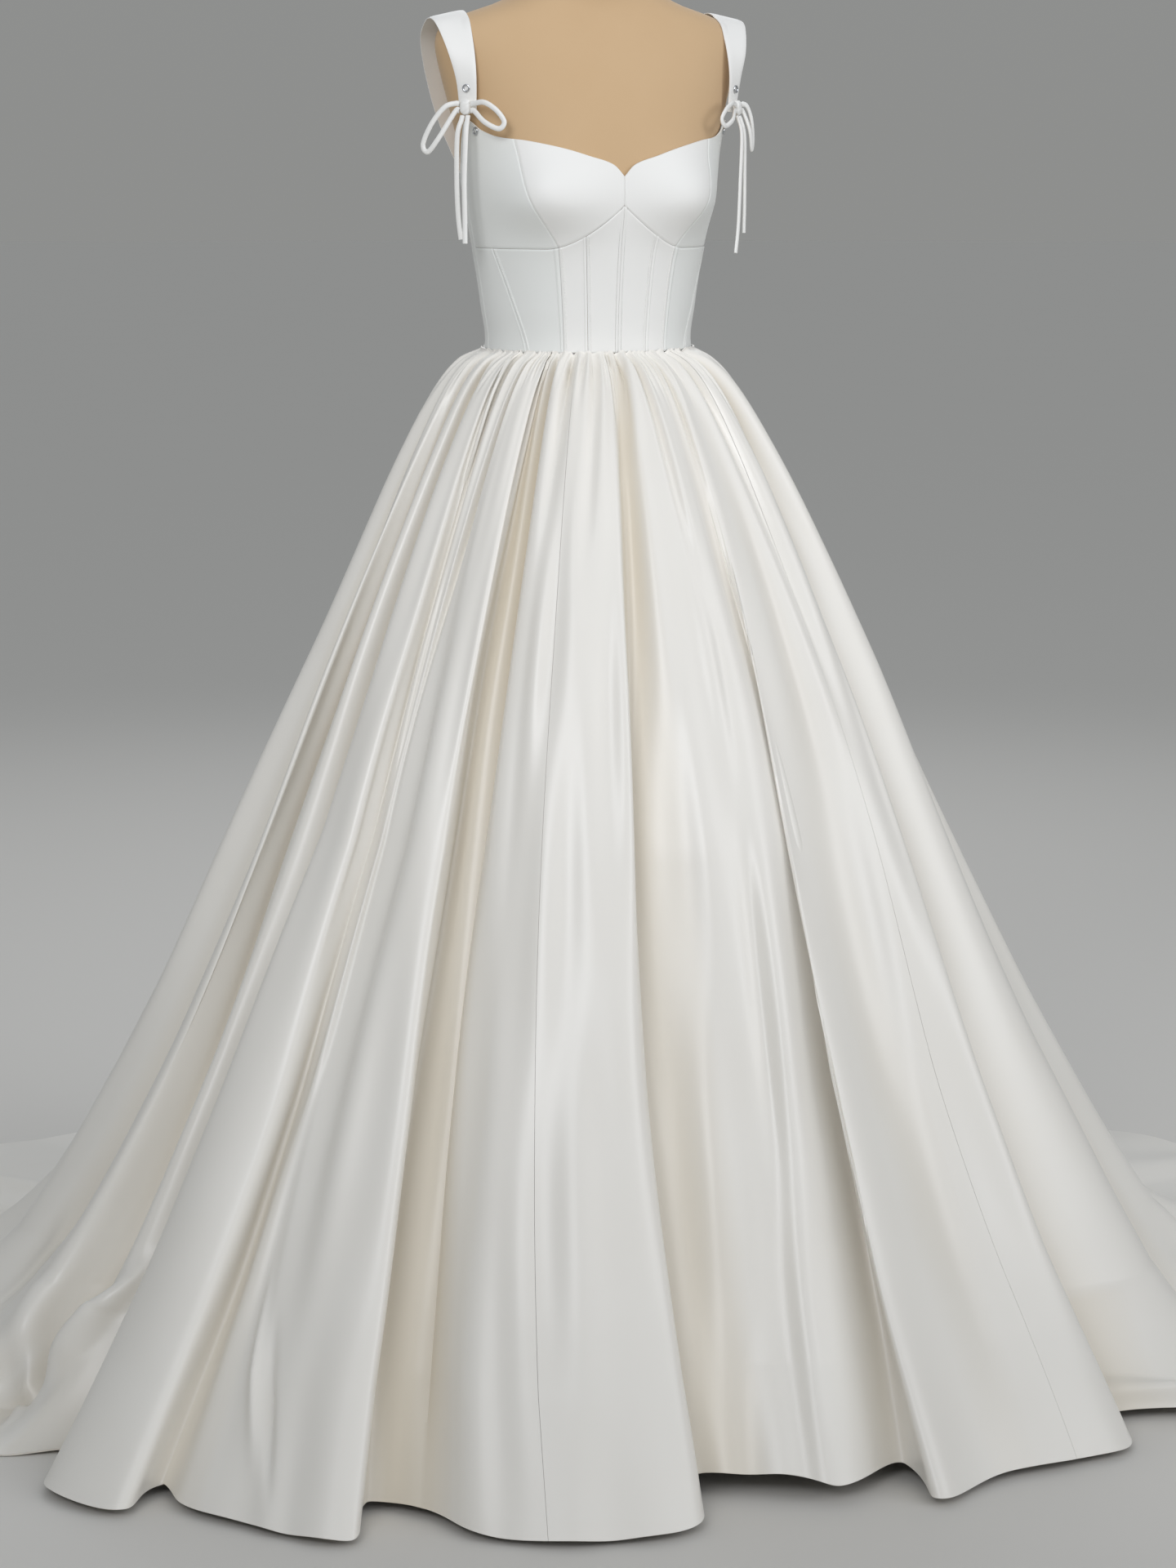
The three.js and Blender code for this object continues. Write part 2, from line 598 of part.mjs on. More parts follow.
const FOLDS = [
  ...FRONT_FOLDS,
  ...LEFT_FOLDS.map(sweptFold),
  ...trainFolds(),
  ...RIGHT_FOLDS.map(sweptFold),
];

// Where a fold line lies at a drop below the waist
function hangingPoint(fold, drop) {
  const z = WAIST_Z - drop;
  const midDrop = WAIST_Z - MID_Z;
  const upper = Math.min(drop / midDrop, 1);
  const lower = clamp((drop - midDrop) / MID_Z, 0, 1);
  const azimuth = lerp(lerp(fold.waist, fold.mid, upper), fold.hem, lower);
  const standing = fold.swept ? fold.out * SWEPT_DEEPENS : fold.foot - BELL_FLOOR_RADIUS;
  const out = lerp(fold.out * upper ** FOLD_ONSET, standing, lower);
  const waistFit = figureRadius(azimuth, WAIST_Z) + WAIST_EASE - BELL[0].radius;
  const radius = along(BELL, 'drop', 'radius', drop) + waistFit * Math.exp(-drop / WAIST_FADE) + out;
  return polar(azimuth, radius, z);
}

// From the knee row a standing fold goes straight to its hem, and a swept one bends on to the floor
function sweepPoint(fold, share) {
  const knee = hangingPoint(fold, WAIST_Z - KNEE_Z);
  const hem = polar(fold.hem, fold.foot, fold.lift);
  const point = knee.clone().lerp(hem, share);
  if (fold.swept) {
    const gone = point.clone().sub(knee).length();
    const bend = clamp(1 - gone / FLOOR_BEND, 0, 1);
    const ridge = fold.ridge * (1 - RIDGE_FALL * share) * (1 - bend * bend);
    point.z = fold.lift + KNEE_Z * bend * bend + ridge;
  }
  return point;
}

function gather(column, drop) {
  const turn = (2 * Math.PI * column) / COLUMNS_PER_FOLD;
  const uneven = 1 + GATHER.uneven * Math.sin(GATHER.unevenTurn * column);
  return GATHER.depth * uneven * Math.cos(turn) * Math.exp(-drop / GATHER.fade);
}

// A closed ring of the skirt through one point of each fold line
function skirtRing(points, drop) {
  const curve = new THREE.CatmullRomCurve3(points, true, 'centripetal');
  const columns = points.length * COLUMNS_PER_FOLD;
  return count(columns).map((c) => {
    const p = curve.getPoint(c / columns);
    const out = p.clone().setZ(0).normalize();
    return p.addScaledVector(out, gather(c, drop));
  });
}

function skirtGrid() {
  const ringAt = (pointOf, place, drop) => skirtRing(FOLDS.map((fold) => pointOf(fold, place)), drop);
  const hanging = HANGING_DROPS.map((drop) => ringAt(hangingPoint, drop, drop));
  const sweep = SWEEP_SHARES.map((share) => ringAt(sweepPoint, share, WAIST_Z));
  return [...hanging, ...sweep].reverse();
}

// The gores, by the fold lines at which they are sewn together; past the last line the count runs on
// round the front
const GORES = [
  { name: 'skirt_front', from: 10, to: 20 },
  { name: 'skirt_side_left', from: 20, to: 27 },
  { name: 'skirt_back_left', from: 27, to: 34 },
  { name: 'skirt_back_right', from: 34, to: 41 },
  { name: 'skirt_side_right', from: 41, to: 49 },
  { name: 'skirt_front_right', from: 49, to: 59 },
];

function skirt() {
  const outer = skirtGrid();
  const normals = gridNormals(outer, true);
  const columns = outer[0].length;
  for (const gore of GORES) {
    const first = gore.from * COLUMNS_PER_FOLD;
    const width = (gore.to - gore.from) * COLUMNS_PER_FOLD;
    const column = (c) => (first + c) % columns;
    const layer = (off) =>
      outer.map((row, r) =>
        count(width + 1).map((c) => {
          const at = column(c);
          const point = row[at].clone().addScaledVector(normals[r][at], -off);
          const inwards = c === 0 ? 1 : c === width ? -1 : 0;
          const aside = row[(at + 1) % columns].clone().sub(row[(at + columns - 1) % columns]).normalize();
          point.addScaledVector(aside, (inwards * SEAM_GAP) / 2);
          return point.setZ(Math.max(point.z, off ? 0 : SKIRT_CLOTH));
        }),
      );
    addPiece(gore.name, wall(layer(0), layer(SKIRT_CLOTH)), ivorySatin);
  }
}

for (const [side, sign] of [['left', 1], ['right', -1]]) {
  bodiceSide(side, sign);
  strap(side, sign);
}
formTorso();
stand();
skirt();

export default gown;
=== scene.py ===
"""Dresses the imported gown: satin skirt, corset bodice, straps, tied bows, dress form and studio stage.

Lengths in the tables are millimetres and azimuths are degrees, 0 at the front and positive towards +X,
the wearer's left. Meshes are made in metres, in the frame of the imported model.
"""

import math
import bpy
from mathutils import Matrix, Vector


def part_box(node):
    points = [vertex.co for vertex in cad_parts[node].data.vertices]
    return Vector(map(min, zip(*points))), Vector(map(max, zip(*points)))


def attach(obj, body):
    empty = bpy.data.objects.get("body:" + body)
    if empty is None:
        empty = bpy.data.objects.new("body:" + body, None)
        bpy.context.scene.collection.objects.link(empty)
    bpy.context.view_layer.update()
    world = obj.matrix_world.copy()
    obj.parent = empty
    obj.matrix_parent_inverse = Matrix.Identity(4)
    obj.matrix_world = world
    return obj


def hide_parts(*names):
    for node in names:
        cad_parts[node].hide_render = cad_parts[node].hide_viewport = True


bl_info = {
    "name": "Satin ball gown",
    "version": (1, 0, 0),
    "blender": (4, 5, 0),
    "location": "3D View > Sidebar > Gown",
    "description": "Builds a satin ball gown on a dress form around its packed frame",
    "category": "Object",
}

import bmesh
import bpy
import numpy as np
from mathutils import Matrix, Vector

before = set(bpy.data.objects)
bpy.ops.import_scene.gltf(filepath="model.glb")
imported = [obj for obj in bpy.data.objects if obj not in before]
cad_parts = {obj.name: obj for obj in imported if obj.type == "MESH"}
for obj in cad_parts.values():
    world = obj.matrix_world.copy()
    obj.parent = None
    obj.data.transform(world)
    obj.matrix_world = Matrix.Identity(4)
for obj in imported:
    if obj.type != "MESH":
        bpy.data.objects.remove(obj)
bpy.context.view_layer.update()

MM = 0.001
BODY = "root"
SIDES = (("left", 1), ("right", -1))
TINY = 1e-9


def table(columns, *rows):
    """A short table as a dictionary of its named columns."""
    return dict(zip(columns.split(), np.array(rows, dtype=float).T))


def rows_of(columns):
    """The rows of a table, each with its columns' names."""
    return [dict(zip(columns, row)) for row in zip(*columns.values())]


# Driving sizes, shared with the solids
WAIST_Z = 1085.0
SEAM_GAP = 0.3
BODICE_CLOTH = 1.8
SKIRT_CLOTH = 1.8
STRAP_CLOTH = 1.6
FORM_INSET = BODICE_CLOTH + 2.0
STRAP_REST = 0.7
STRAP_LIFT_STEP = 0.2
STRAP_LIFTS = 1000
MID_Z = 600.0
KNEE_Z = 120.0
FLOOR_BEND = 1.5 * KNEE_Z
BELL_FLOOR_RADIUS = 700.0
WAIST_EASE = 3.1
WAIST_FADE = 90.0
FOLD_ONSET = 0.5
SWEPT_DEEPENS = 1.5
RIDGE_FALL = 0.7
FORM_BOTTOM_Z = 880.0
NECK_TOP_Z = 1530.0
TRAIN_HALF_WIDTH = 1080.0
TRAIN_HALF_DEPTH = 925.0
TRAIN_AXIS = 160.0

# Sections of the figure, measured on the outside of the bodice cloth
FIGURE = table(
    "z side front back",
    (880, 160, 112, 122),
    (945, 163, 110, 128),
    (1010, 146, 103, 116),
    (1085, 115, 94, 94),
    (1135, 119, 96, 96),
    (1193, 128, 103, 101),
    (1250, 138, 112, 104),
    (1305, 148, 108, 102),
    (1350, 160, 96, 96),
    (1390, 171, 80, 88),
    (1412, 174, 69, 80),
    (1428, 166, 60, 72),
    (1440, 141, 56, 66),
    (1452, 105, 54, 63),
    (1468, 76, 55, 61),
    (1490, 63, 55, 60),
    (1530, 58, 53, 57),
)
CUP = {"azimuth": 38, "z": 1246, "rise": 21, "spread": 25, "above": 46, "below": 34}

# The bodice's top edge and its underbust seam
NECKLINE = table(
    "azimuth z",
    (0, 1271),
    (6, 1283),
    (19, 1292),
    (32, 1300),
    (50, 1308),
    (64, 1312),
    (72, 1319),
    (79, 1329),
    (84, 1312),
    (92, 1280),
    (104, 1258),
    (140, 1254),
    (180, 1246),
)
UNDERBUST = {"z": 1195, "peak": 45, "reach": 42, "curve": 1.7}

# Seams of one side: azimuth at the waist, at the underbust seam and at the top edge
SEAMS = {
    "centre_front": (0, 0, 0),
    "corset_centre": (20, 21, 21),
    "cup": (35, 36, 56),
    "corset_diagonal": (57, 74, 74),
    "side": (90, 90, 90),
    "side_back": (135, 138, 140),
    "centre_back": (180, 180, 180),
}
WAIST, UNDER, TOP = range(3)
BONED_SEAMS = ("centre_front", "corset_centre", "cup", "corset_diagonal", "side_back")

# Panels of one side: name, the seams that bound it, the heights that it spans and its satin; the cross
# satin is the bodice's white painted darker and cooler, as shade on the side panels
PANELS = (
    ("corset_centre", "centre_front", "corset_centre", "corset", "bodice"),
    ("corset_front", "corset_centre", "cup", "corset", "bodice"),
    ("corset_side_front", "cup", "corset_diagonal", "corset", "cross"),
    ("corset_side", "corset_diagonal", "side", "corset", "cross"),
    ("cup_inner", "centre_front", "cup", "cup", "bodice"),
    ("cup_outer", "cup", "side", "cup", "cross"),
    ("back_side", "side", "side_back", "back", "cross"),
    ("back_centre", "side_back", "centre_back", "back", "bodice"),
)

# The bell of the skirt: its radius by drop below the waist seam
BELL = table(
    "drop radius",
    (0, 117),
    (10, 134),
    (24, 149),
    (48, 166),
    (92, 190),
    (154, 221),
    (335, 306),
    (518, 388),
    (704, 474),
    (800, 525),
    (894, 578),
    (965, 624),
)

# Fold lines round the front that stand clear of the floor: azimuths at the waist, at mid height and at
# the hem, out is how far the line stands off the bell, foot its radius and lift its height at the hem
FRONT_FOLDS = table(
    "waist mid hem out foot lift",
    (-68, -66, -63, 12, 788, 10),
    (-62, -58.5, -55, 12, 786, 8),
    (-60, -58, -55.5, -12, 718, 12),
    (-57, -55.5, -52, -2, 744, 10),
    (-51, -54, -46, -6, 750, 8),
    (-47, -48, -42, 16, 758, 8),
    (-43, -42, -37, 14, 750, 8),
    (-41, -44, -39, -36, 664, 10),
    (-37, -39, -34, -26, 666, 12),
    (-32, -33, -28, 4, 712, 8),
    (-26, -27, -23, 8, 722, 8),
    (-18, -20, -17, 12, 716, 8),
    (-11, -13, -11, 6, 690, 10),
    (-7, -12.5, -10, -32, 596, 22),
    (-2, -4, -6, -8, 612, 26),
    (4, 3, -1, 2, 634, 26),
    (10, 8, 2, 6, 658, 20),
    (15, 16.5, 10, -8, 624, 18),
    (20, 13, 9, 4, 704, 8),
    (28, 24, 17, -6, 686, 10),
    (37, 31, 24, 10, 706, 9),
    (44, 37, 30, 16, 722, 8),
    (48, 40, 34, -42, 660, 12),
)
# Fold lines that sweep on to the floor: foot is the radius of the hem, ridge how high the fold stands
LEFT_FOLDS = table(
    "waist mid hem out foot ridge",
    (62, 54, 46, 18, 850, 24),
    (74, 70, 58, -16, 965, 0),
)
RIGHT_FOLDS = table(
    "waist mid hem out foot ridge",
    (-104, -99, -104, 12, 1000, 26),
    (-97, -91, -97, -16, 900, 0),
    (-88, -80, -87, 14, 815, 26),
    (-83, -81, -79, -28, 722, 0),
    (-76, -74, -72, 4, 772, 12),
    (-71, -70, -67, -26, 690, 0),
)
# The train's fold lines, by turns a crest and a valley, from one azimuth to another
TRAIN = {
    "from": 71,
    "to": 246,
    "lines": 18,
    "crest": 14,
    "valley": -20,
    "sway": 2.5,
    "sway_turn": 2.4,
    "ridge": 24,
    "twist": 11,
}

# The gores, by the fold lines at which they are sewn together; past the last the count runs on
GORES = (
    ("skirt_front", 10, 20),
    ("skirt_side_left", 20, 27),
    ("skirt_back_left", 27, 34),
    ("skirt_back_right", 34, 41),
    ("skirt_side_right", 41, 49),
    ("skirt_front_right", 49, 59),
)

# Smaller creases laid over the folds: fold line and drop at each end, width in folds, depth outwards
CREASES = table(
    "top_line low_line top_drop low_drop width depth",
    (4.5, 4.4, 60, 1000, 0.30, -7),
    (8.8, 9.5, 120, 1040, 0.40, -6),
    (11.6, 11.4, 40, 620, 0.45, -4),
    (15.4, 15.2, 150, 1040, 0.40, -7),
    (19.3, 19.7, 480, 1082, 0.9, -20),
    (24.5, 24.4, 40, 760, 0.40, -7),
    (30.4, 30.6, 40, 820, 0.40, -7),
    (36.5, 36.6, 40, 780, 0.40, -7),
    (42.5, 42.4, 40, 820, 0.40, -7),
    (45.5, 45.4, 40, 900, 0.35, -7),
    (47.5, 46.0, 900, 1080, 0.17, 27),
    (44.9, 46.5, 950, 1090, 0.19, 26),
    (43.6, 44.6, 960, 1100, 0.22, 22),
    (46.9, 45.4, 985, 1110, 0.14, -18),
    (23.2, 23.7, 1045, 1087, 0.8, 62),
    (24.5, 23.3, 955, 1070, 0.2, 17),
    (3.5, 4.1, 860, 1060, 0.13, 8),
    (4.0, 4.5, 900, 1075, 0.11, -8),
)
# Ridges that run out over the train, from one fold line to another, with the ranges of their ends,
# heights, half widths and slants, and of their places in even shares of the train
RIPPLES = {
    "count": 21,
    "lines": (24.5, 46),
    "top_drop": (890, 985),
    "low_drop": (1060, 1140),
    "height": (5, 14),
    "width": (0.14, 0.34),
    "slant": (-0.7, 0.7),
    "place": (0.2, 0.8),
    "seed": 11,
}

# Puckers and tucks below the waist seam: how many of a kind go round, and the range of their depths,
# lengths, half widths in folds and slants in folds
RUCKS = table(
    "count shallow deep short long narrow wide slant",
    (74, 1.0, 3.4, 16, 70, 0.12, 0.26, 0.25),
    (27, 3.5, 8.5, 120, 500, 0.24, 0.55, 0.9),
)
RUCK_SEED = 5
RUCK_PLACE = (0.1, 0.9)
# The gathers puff out from the waist seam and stand over the bodice's edge
PUFF = {"above": 2.2, "ease_in": 11, "least": 0.1, "uneven": 0.3}
# Valleys between two depths are pinched in, less at the hem
PINCH = {"shallow": -14, "deep": -30, "width": 0.16, "ease_in": 260, "at_hem": 0.25}
# Broad waves: how many go round the skirt, the drop over which one rises a turn, where it starts
# and its depth
SLACK = table(
    "round rise start depth",
    (31, 640, 0.1, 1.3),
    (43, -520, 0.45, 1.1),
    (58, 900, 0.7, 0.9),
)
SLACK_EASE = 320
# The depth of a fold, the mask of the skirt's painted shade, is read against the crests on both sides of
# it, which lie so many folds away, and a deep one is shallower near the waist
CREST_REACH = (0.9, 1.8)
CREST_EVEN = 0.4
DEEP_FOLD = table("drop depth", (0, 13), (250, 34), (600, 84))

# One side's strap, from the eyelet end over the shoulder to the back of the bodice
STRAP = table(
    "x y z width facing up",
    (149, -42, 1338, 19, 42, 4),
    (152, -44, 1375, 23, 38, 12),
    (156, -35, 1408, 29, 25, 35),
    (158, -14, 1433, 36, 40, 72),
    (158, 12, 1438, 39, 110, 76),
    (156, 42, 1424, 39, 155, 50),
    (147, 66, 1390, 37, 158, 28),
    (130, 84, 1340, 35, 155, 14),
    (108, 92, 1290, 34, 150, 4),
    (92, 97, 1256, 34, 146, 0),
)

# The ties' routes, as on the solids: across to the viewer's right, out and up from the knot
TIE_ROUTES = {
    "right": {
        "loop_front": (
            (6.7, 1, 3.4), (11, 2, 4), (24, 6, 5), (38, 7, -3), (47, 7, -15),
            (41, 8, -22), (25, 8, -15), (11, 2, -4), (6.7, 1, -3.4),
        ),
        "loop_side": (
            (-7, 1, 3.4), (-11, 2, 4), (-22, 5, 0), (-36, 7, -17), (-46, 7, -38),
            (-40, 8, -46), (-27, 8, -31), (-11, 2, -4.4), (-7, 1, -3.4),
        ),
        "tail_short": (
            (-3.1, 1, -8.7), (-3.4, 3, -13), (-7, 6, -30), (-8, 6, -75), (-7, 5, -112), (-4, 5, -137),
        ),
        "tail_long": (
            (3.1, 1, -8.7), (3.3, 3, -13), (4, 9, -30), (2, 9, -75), (2, 8, -115), (2, 8, -141),
        ),
    },
    "left": {
        "loop_front": (
            (-6.7, 1, 3.4), (-11, 2, 4), (-23, 5, 5), (-40, 6, -2), (-50, 6, -12),
            (-43, 7, -19), (-26, 7, -13), (-11, 2, -4), (-6.7, 1, -3.4),
        ),
        "loop_side": (
            (7, 1, 3.4), (11, 2, 4), (17, 4, 1), (23, 6, -12), (27, 6, -32),
            (22, 7, -44), (15, 8, -24), (11, 2, -4.4), (7, 1, -3.4),
        ),
        "tail_short": (
            (3.1, 1, -8.7), (3.3, 3, -13), (4, 7, -30), (3, 8, -70), (3, 8, -105), (2, 8, -133),
        ),
        "tail_long": (
            (-3.1, 1, -8.7), (-3.3, 3, -13), (-5, 8, -30), (-8, 8, -80), (-12, 8, -125), (-18, 8, -154),
        ),
    },
}
TIE_RADIUS = 2.5
TIE_CLEARANCE = 1.2
# A knot's size, how far its ties keep to it, and how round it is
KNOT = {"wide": 12, "deep": 8, "tall": 16, "near": 12.5, "roundness": 0.75}
# The wrap across a knot: its slant, where its two edges sink in, how far and how wide, in half knots
WRAP = {"slant": 0.4, "edges": (0.1, -0.62), "depth": 0.07, "width": 0.13}
# An eyelet's ring and wire radius, the mesh row of the strap on which one sits, the azimuth of the other
EYELET = {"radius": 3.3, "wire": 0.9, "strap_row": 10, "azimuth": 74}

# Sewing: how a seam sinks in, and the soft edge and the groove of a boning channel
SEAM = {"dip_width": 1.1, "channel_edge": 0.35, "groove_width": 0.55, "groove_share": 0.5}
# Rows of stitches: where they start and end on a seam, how far they stand out, and a stitch's share of
# the pitch
STITCH = {"from": 0.01, "to": 0.985, "points": 60, "above": 0.2, "share": 0.7}
# How far a strap's face is rounded off towards its edges, and how sharply
STRAP_EDGE = {"round_off": 0.8, "power": 6}

# Fineness of the meshes
COLUMNS_PER_FOLD = 22
RING_SMOOTHING = 0.1
SKIRT_ROW = 11.0
SKIRT_ROWS_FROM = 60
GATHER_DROPS = (-1, 0.5, 2, 3.5, 5.5, 8, 10.5, 13, 16, 20, 24, 29, 35, 42, 50)
SWEEP_ROWS = 34
PANEL_STEP = 2.2
EDGE_STEPS = (0, 0.4, 0.9, 1.6, 2.4, 2.9, 3.3, 3.7, 4.3)
FORM_COLUMNS = 144
FORM_ROW = 5.0
STRAP_ROWS = 90
STRAP_COLUMNS = 20
TIE_STEPS = 90
TIE_SIDES = 16
KNOT_COLUMNS = 65
KNOT_ROWS = 41
RING_STEPS = 40
WIRE_SIDES = 12
THREAD_SIDES = 6
SHARP_ANGLE = math.radians(50)
MERGE_DISTANCE = 1e-6
LEAST_SHARE = 1e-3


def linear_colour(hex_code):
    """An sRGB hex colour as linear red, green, blue and alpha."""
    channels = [int(hex_code[i:i + 2], 16) / 255 for i in (1, 3, 5)]
    return [c / 12.92 if c <= 0.04045 else ((c + 0.055) / 1.055) ** 2.4 for c in channels] + [1.0]


# Curves and points
def along(rows, key, column, at):
    """A column of a table at places along another, on a smooth curve that keeps to its rows."""
    knots, values = rows[key], rows[column]
    last = len(knots) - 1
    before = np.maximum(np.arange(last + 1) - 1, 0)
    after = np.minimum(np.arange(last + 1) + 1, last)
    slopes = (values[after] - values[before]) / (knots[after] - knots[before])
    at = np.clip(at, knots[0], knots[-1])
    k = np.clip(np.searchsorted(knots, at, side="right") - 1, 0, last - 1)
    span = knots[k + 1] - knots[k]
    t = (at - knots[k]) / span
    ease = t * t * (3 - 2 * t)
    bend = span * t * (1 - t) * ((1 - t) * slopes[k] - t * slopes[k + 1])
    return values[k] + (values[k + 1] - values[k]) * ease + bend


def outwards(azimuth):
    """Horizontal unit vectors away from the axis."""
    turn = np.radians(azimuth)
    return np.stack([np.sin(turn), -np.cos(turn), np.zeros_like(turn)], axis=-1)


def polar(azimuth, radius, z):
    """Points by azimuth, radius and height."""
    azimuth, radius, z = np.broadcast_arrays(azimuth, radius, z)
    points = outwards(azimuth.astype(float)) * radius[..., None]
    points[..., 2] = z
    return points


def azimuth_of(points):
    """Azimuths of points about the axis."""
    return np.degrees(np.arctan2(points[..., 0], -points[..., 1]))


def facing_axes(facing):
    """Unit vectors across to the viewer's right, out and up, of a piece that faces an azimuth."""
    turn = math.radians(facing)
    return np.array([[math.cos(turn), math.sin(turn), 0], outwards(facing), [0, 0, 1]])


def unit(vectors):
    """Vectors at a length of one."""
    return vectors / np.maximum(np.linalg.norm(vectors, axis=-1, keepdims=True), TINY)


def curve_through(points, places):
    """A smooth open curve through points, at places from 0 to 1 spread evenly over its spans."""
    points = np.asarray(points, dtype=float)
    rows = {"at": np.linspace(0, 1, len(points))}
    for axis, name in enumerate("xyz"):
        rows[name] = points[:, axis]
    return np.stack([along(rows, "at", name, places) for name in "xyz"], axis=-1)


def ring_through(points, per_span):
    """A closed ring through points, on centripetal spans, with per_span columns in each."""
    before, after, beyond = (np.roll(points, shift, axis=0) for shift in (1, -1, -2))

    def knot_span(a, b):
        return np.maximum(np.sqrt(np.linalg.norm(b - a, axis=-1, keepdims=True)), TINY)

    near, mid, far = knot_span(before, points), knot_span(points, after), knot_span(after, beyond)
    leave = (points - before) / near - (after - before) / (near + mid) + (after - points) / mid
    arrive = (after - points) / mid - (beyond - points) / (mid + far) + (beyond - after) / far
    leave, arrive = leave * mid, arrive * mid
    t = (np.arange(per_span) / per_span)[None, :, None]
    start, end = points[:, None], after[:, None]
    leave, arrive = leave[:, None], arrive[:, None]
    cubic = 2 * start - 2 * end + leave + arrive
    square = -3 * start + 3 * end - 2 * leave - arrive
    return (start + leave * t + square * t ** 2 + cubic * t ** 3).reshape(-1, 3)


def smooth_ring(ring, columns):
    """Evens out a closed ring over a width given in columns."""
    turns = np.fft.fftfreq(len(ring))[:, None]
    keep = np.exp(-2 * (math.pi * turns * columns) ** 2)
    return np.real(np.fft.ifft(np.fft.fft(ring, axis=0) * keep, axis=0))


def grid_normals(grid, closed=False):
    """Outward normals of a grid whose rows run up and whose columns run by rising azimuth."""
    if closed:
        across = np.roll(grid, -1, axis=1) - np.roll(grid, 1, axis=1)
    else:
        across = np.gradient(grid, axis=1)
    return unit(np.cross(across, np.gradient(grid, axis=0)))


# Meshes
def grid_quads(rows, columns, first=0, flip=False):
    """Corner numbers of a grid's quads."""
    r, c = np.meshgrid(np.arange(rows - 1), np.arange(columns - 1), indexing="ij")
    a = first + r * columns + c
    corners = [a, a + 1, a + columns + 1, a + columns]
    if flip:
        corners.reverse()
    return np.stack(corners, axis=-1).reshape(-1, 4)


def rim_quads(outer, inner):
    """Quads between two runs of corner numbers, one above the other on the outside."""
    return np.stack([inner[:-1], inner[1:], outer[1:], outer[:-1]], axis=-1)


def flat_layout(grid):
    """Where each point lies on the flat cloth, in metres, for the weave."""
    steps = np.linalg.norm(np.diff(grid, axis=1), axis=-1)
    across = np.concatenate([np.zeros((len(grid), 1)), np.cumsum(steps, axis=1)], axis=1)
    across -= across[:, [across.shape[1] // 2]]
    rises = np.linalg.norm(np.diff(grid, axis=0), axis=-1).mean(axis=1)
    up = np.concatenate([[0], np.cumsum(rises)])
    return np.stack([across, np.broadcast_to(up[:, None], across.shape)], axis=-1) * MM


def new_object(name, mesh, material=None):
    """Links a mesh to the scene as a piece of one material, if it has any."""
    piece = bpy.data.objects.new(name, mesh)
    bpy.context.scene.collection.objects.link(piece)
    if material is not None:
        mesh.materials.append(material)
    return piece


def quad_mesh(name, points, quads, layout):
    """A mesh in metres from points in millimetres, with its flat layout as UV map."""
    mesh = bpy.data.meshes.new(name)
    mesh.vertices.add(len(points))
    mesh.vertices.foreach_set("co", (points * MM).ravel())
    mesh.loops.add(quads.size)
    mesh.loops.foreach_set("vertex_index", quads.ravel().astype(np.int32))
    mesh.polygons.add(len(quads))
    mesh.polygons.foreach_set("loop_start", np.arange(0, quads.size, 4, dtype=np.int32))
    uv = mesh.uv_layers.new(name="Cloth")
    uv.data.foreach_set("uv", layout[quads.ravel()].ravel())
    mesh.update(calc_edges=True)
    mesh.shade_smooth()
    mesh.set_sharp_from_angle(angle=SHARP_ANGLE)
    return mesh


def shell(name, outer, inner, material, depth=None):
    """A closed wall of cloth between two grids, with each point's depth in a fold as a painted shade mask.
    """
    rows, columns = outer.shape[:2]
    size = rows * columns
    numbers = np.arange(size).reshape(rows, columns)
    back = numbers + size
    quads = np.concatenate([
        grid_quads(rows, columns),
        grid_quads(rows, columns, size, flip=True),
        rim_quads(numbers[0], back[0]),
        rim_quads(numbers[-1][::-1], back[-1][::-1]),
        rim_quads(numbers[::-1, 0], back[::-1, 0]),
        rim_quads(numbers[:, -1], back[:, -1]),
    ])
    layout = flat_layout(outer).reshape(-1, 2)
    points = np.concatenate([outer.reshape(-1, 3), inner.reshape(-1, 3)])
    mesh = quad_mesh(name, points, quads, np.tile(layout, (2, 1)))
    # The depth in a fold is kept on the mesh as the mask of the painted shade
    if depth is not None:
        fold_depth = mesh.attributes.new("fold_depth", "FLOAT", "POINT")
        fold_depth.data.foreach_set("value", np.tile(depth.ravel(), 2))
    return new_object(name, mesh, material)


def tube_mesh(name, grid):
    """A closed mesh from a grid whose last column meets its first, with its two ends filled."""
    quads = grid_quads(*grid.shape[:2])
    mesh = quad_mesh(name, grid.reshape(-1, 3), quads, flat_layout(grid).reshape(-1, 2))
    work = bmesh.new()
    work.from_mesh(mesh)
    bmesh.ops.remove_doubles(work, verts=work.verts, dist=MERGE_DISTANCE)
    rims = [edge for edge in work.edges if edge.is_boundary]
    bmesh.ops.holes_fill(work, edges=rims, sides=0)
    bmesh.ops.recalc_face_normals(work, faces=work.faces)
    work.to_mesh(mesh)
    work.free()
    mesh.shade_smooth()
    mesh.set_sharp_from_angle(angle=SHARP_ANGLE)
    return mesh


def middle_of(node):
    """The middle of a solid's box, in metres."""
    low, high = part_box(node)
    return (Vector(low) + Vector(high)) / 2


def place(piece, slot, *nodes):
    """A finished piece rides on the gown and stands for its solids, which it hides; its slot is not used.
    """
    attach(piece, BODY)
    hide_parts(*nodes)
    return piece


# Materials, with patterns in repeats a metre: slubs 11 mm long and 0.9 mm high, knit loops 1.2 mm apart,
# marks of brushing 1.5 mm apart, and clouds that keep a colour from lying dead even
SLUBS = (90.0, 1100.0, 1.0)
SLUB_HEIGHT = 0.0002
KNIT = 830.0
KNIT_HEIGHT = 0.0003
MARKS = (60.0, 60.0, 660.0)
CLOUDS = {"satin": 9.0, "jersey": 14.0, "floor": 2.5}
GLOSS_SWING = 0.05
SATIN_SHEEN_ROUGHNESS = 0.5
JERSEY = {"roughness": 0.82, "sheen": 0.12, "knit": 0.25}
STEEL = {"roughness": 0.35, "grain": 0.08}
SILVER = {"roughness": 0.22, "grain": 0.05}
FLOOR_GLOSS = {"To Min": 0.6, "To Max": 0.75}


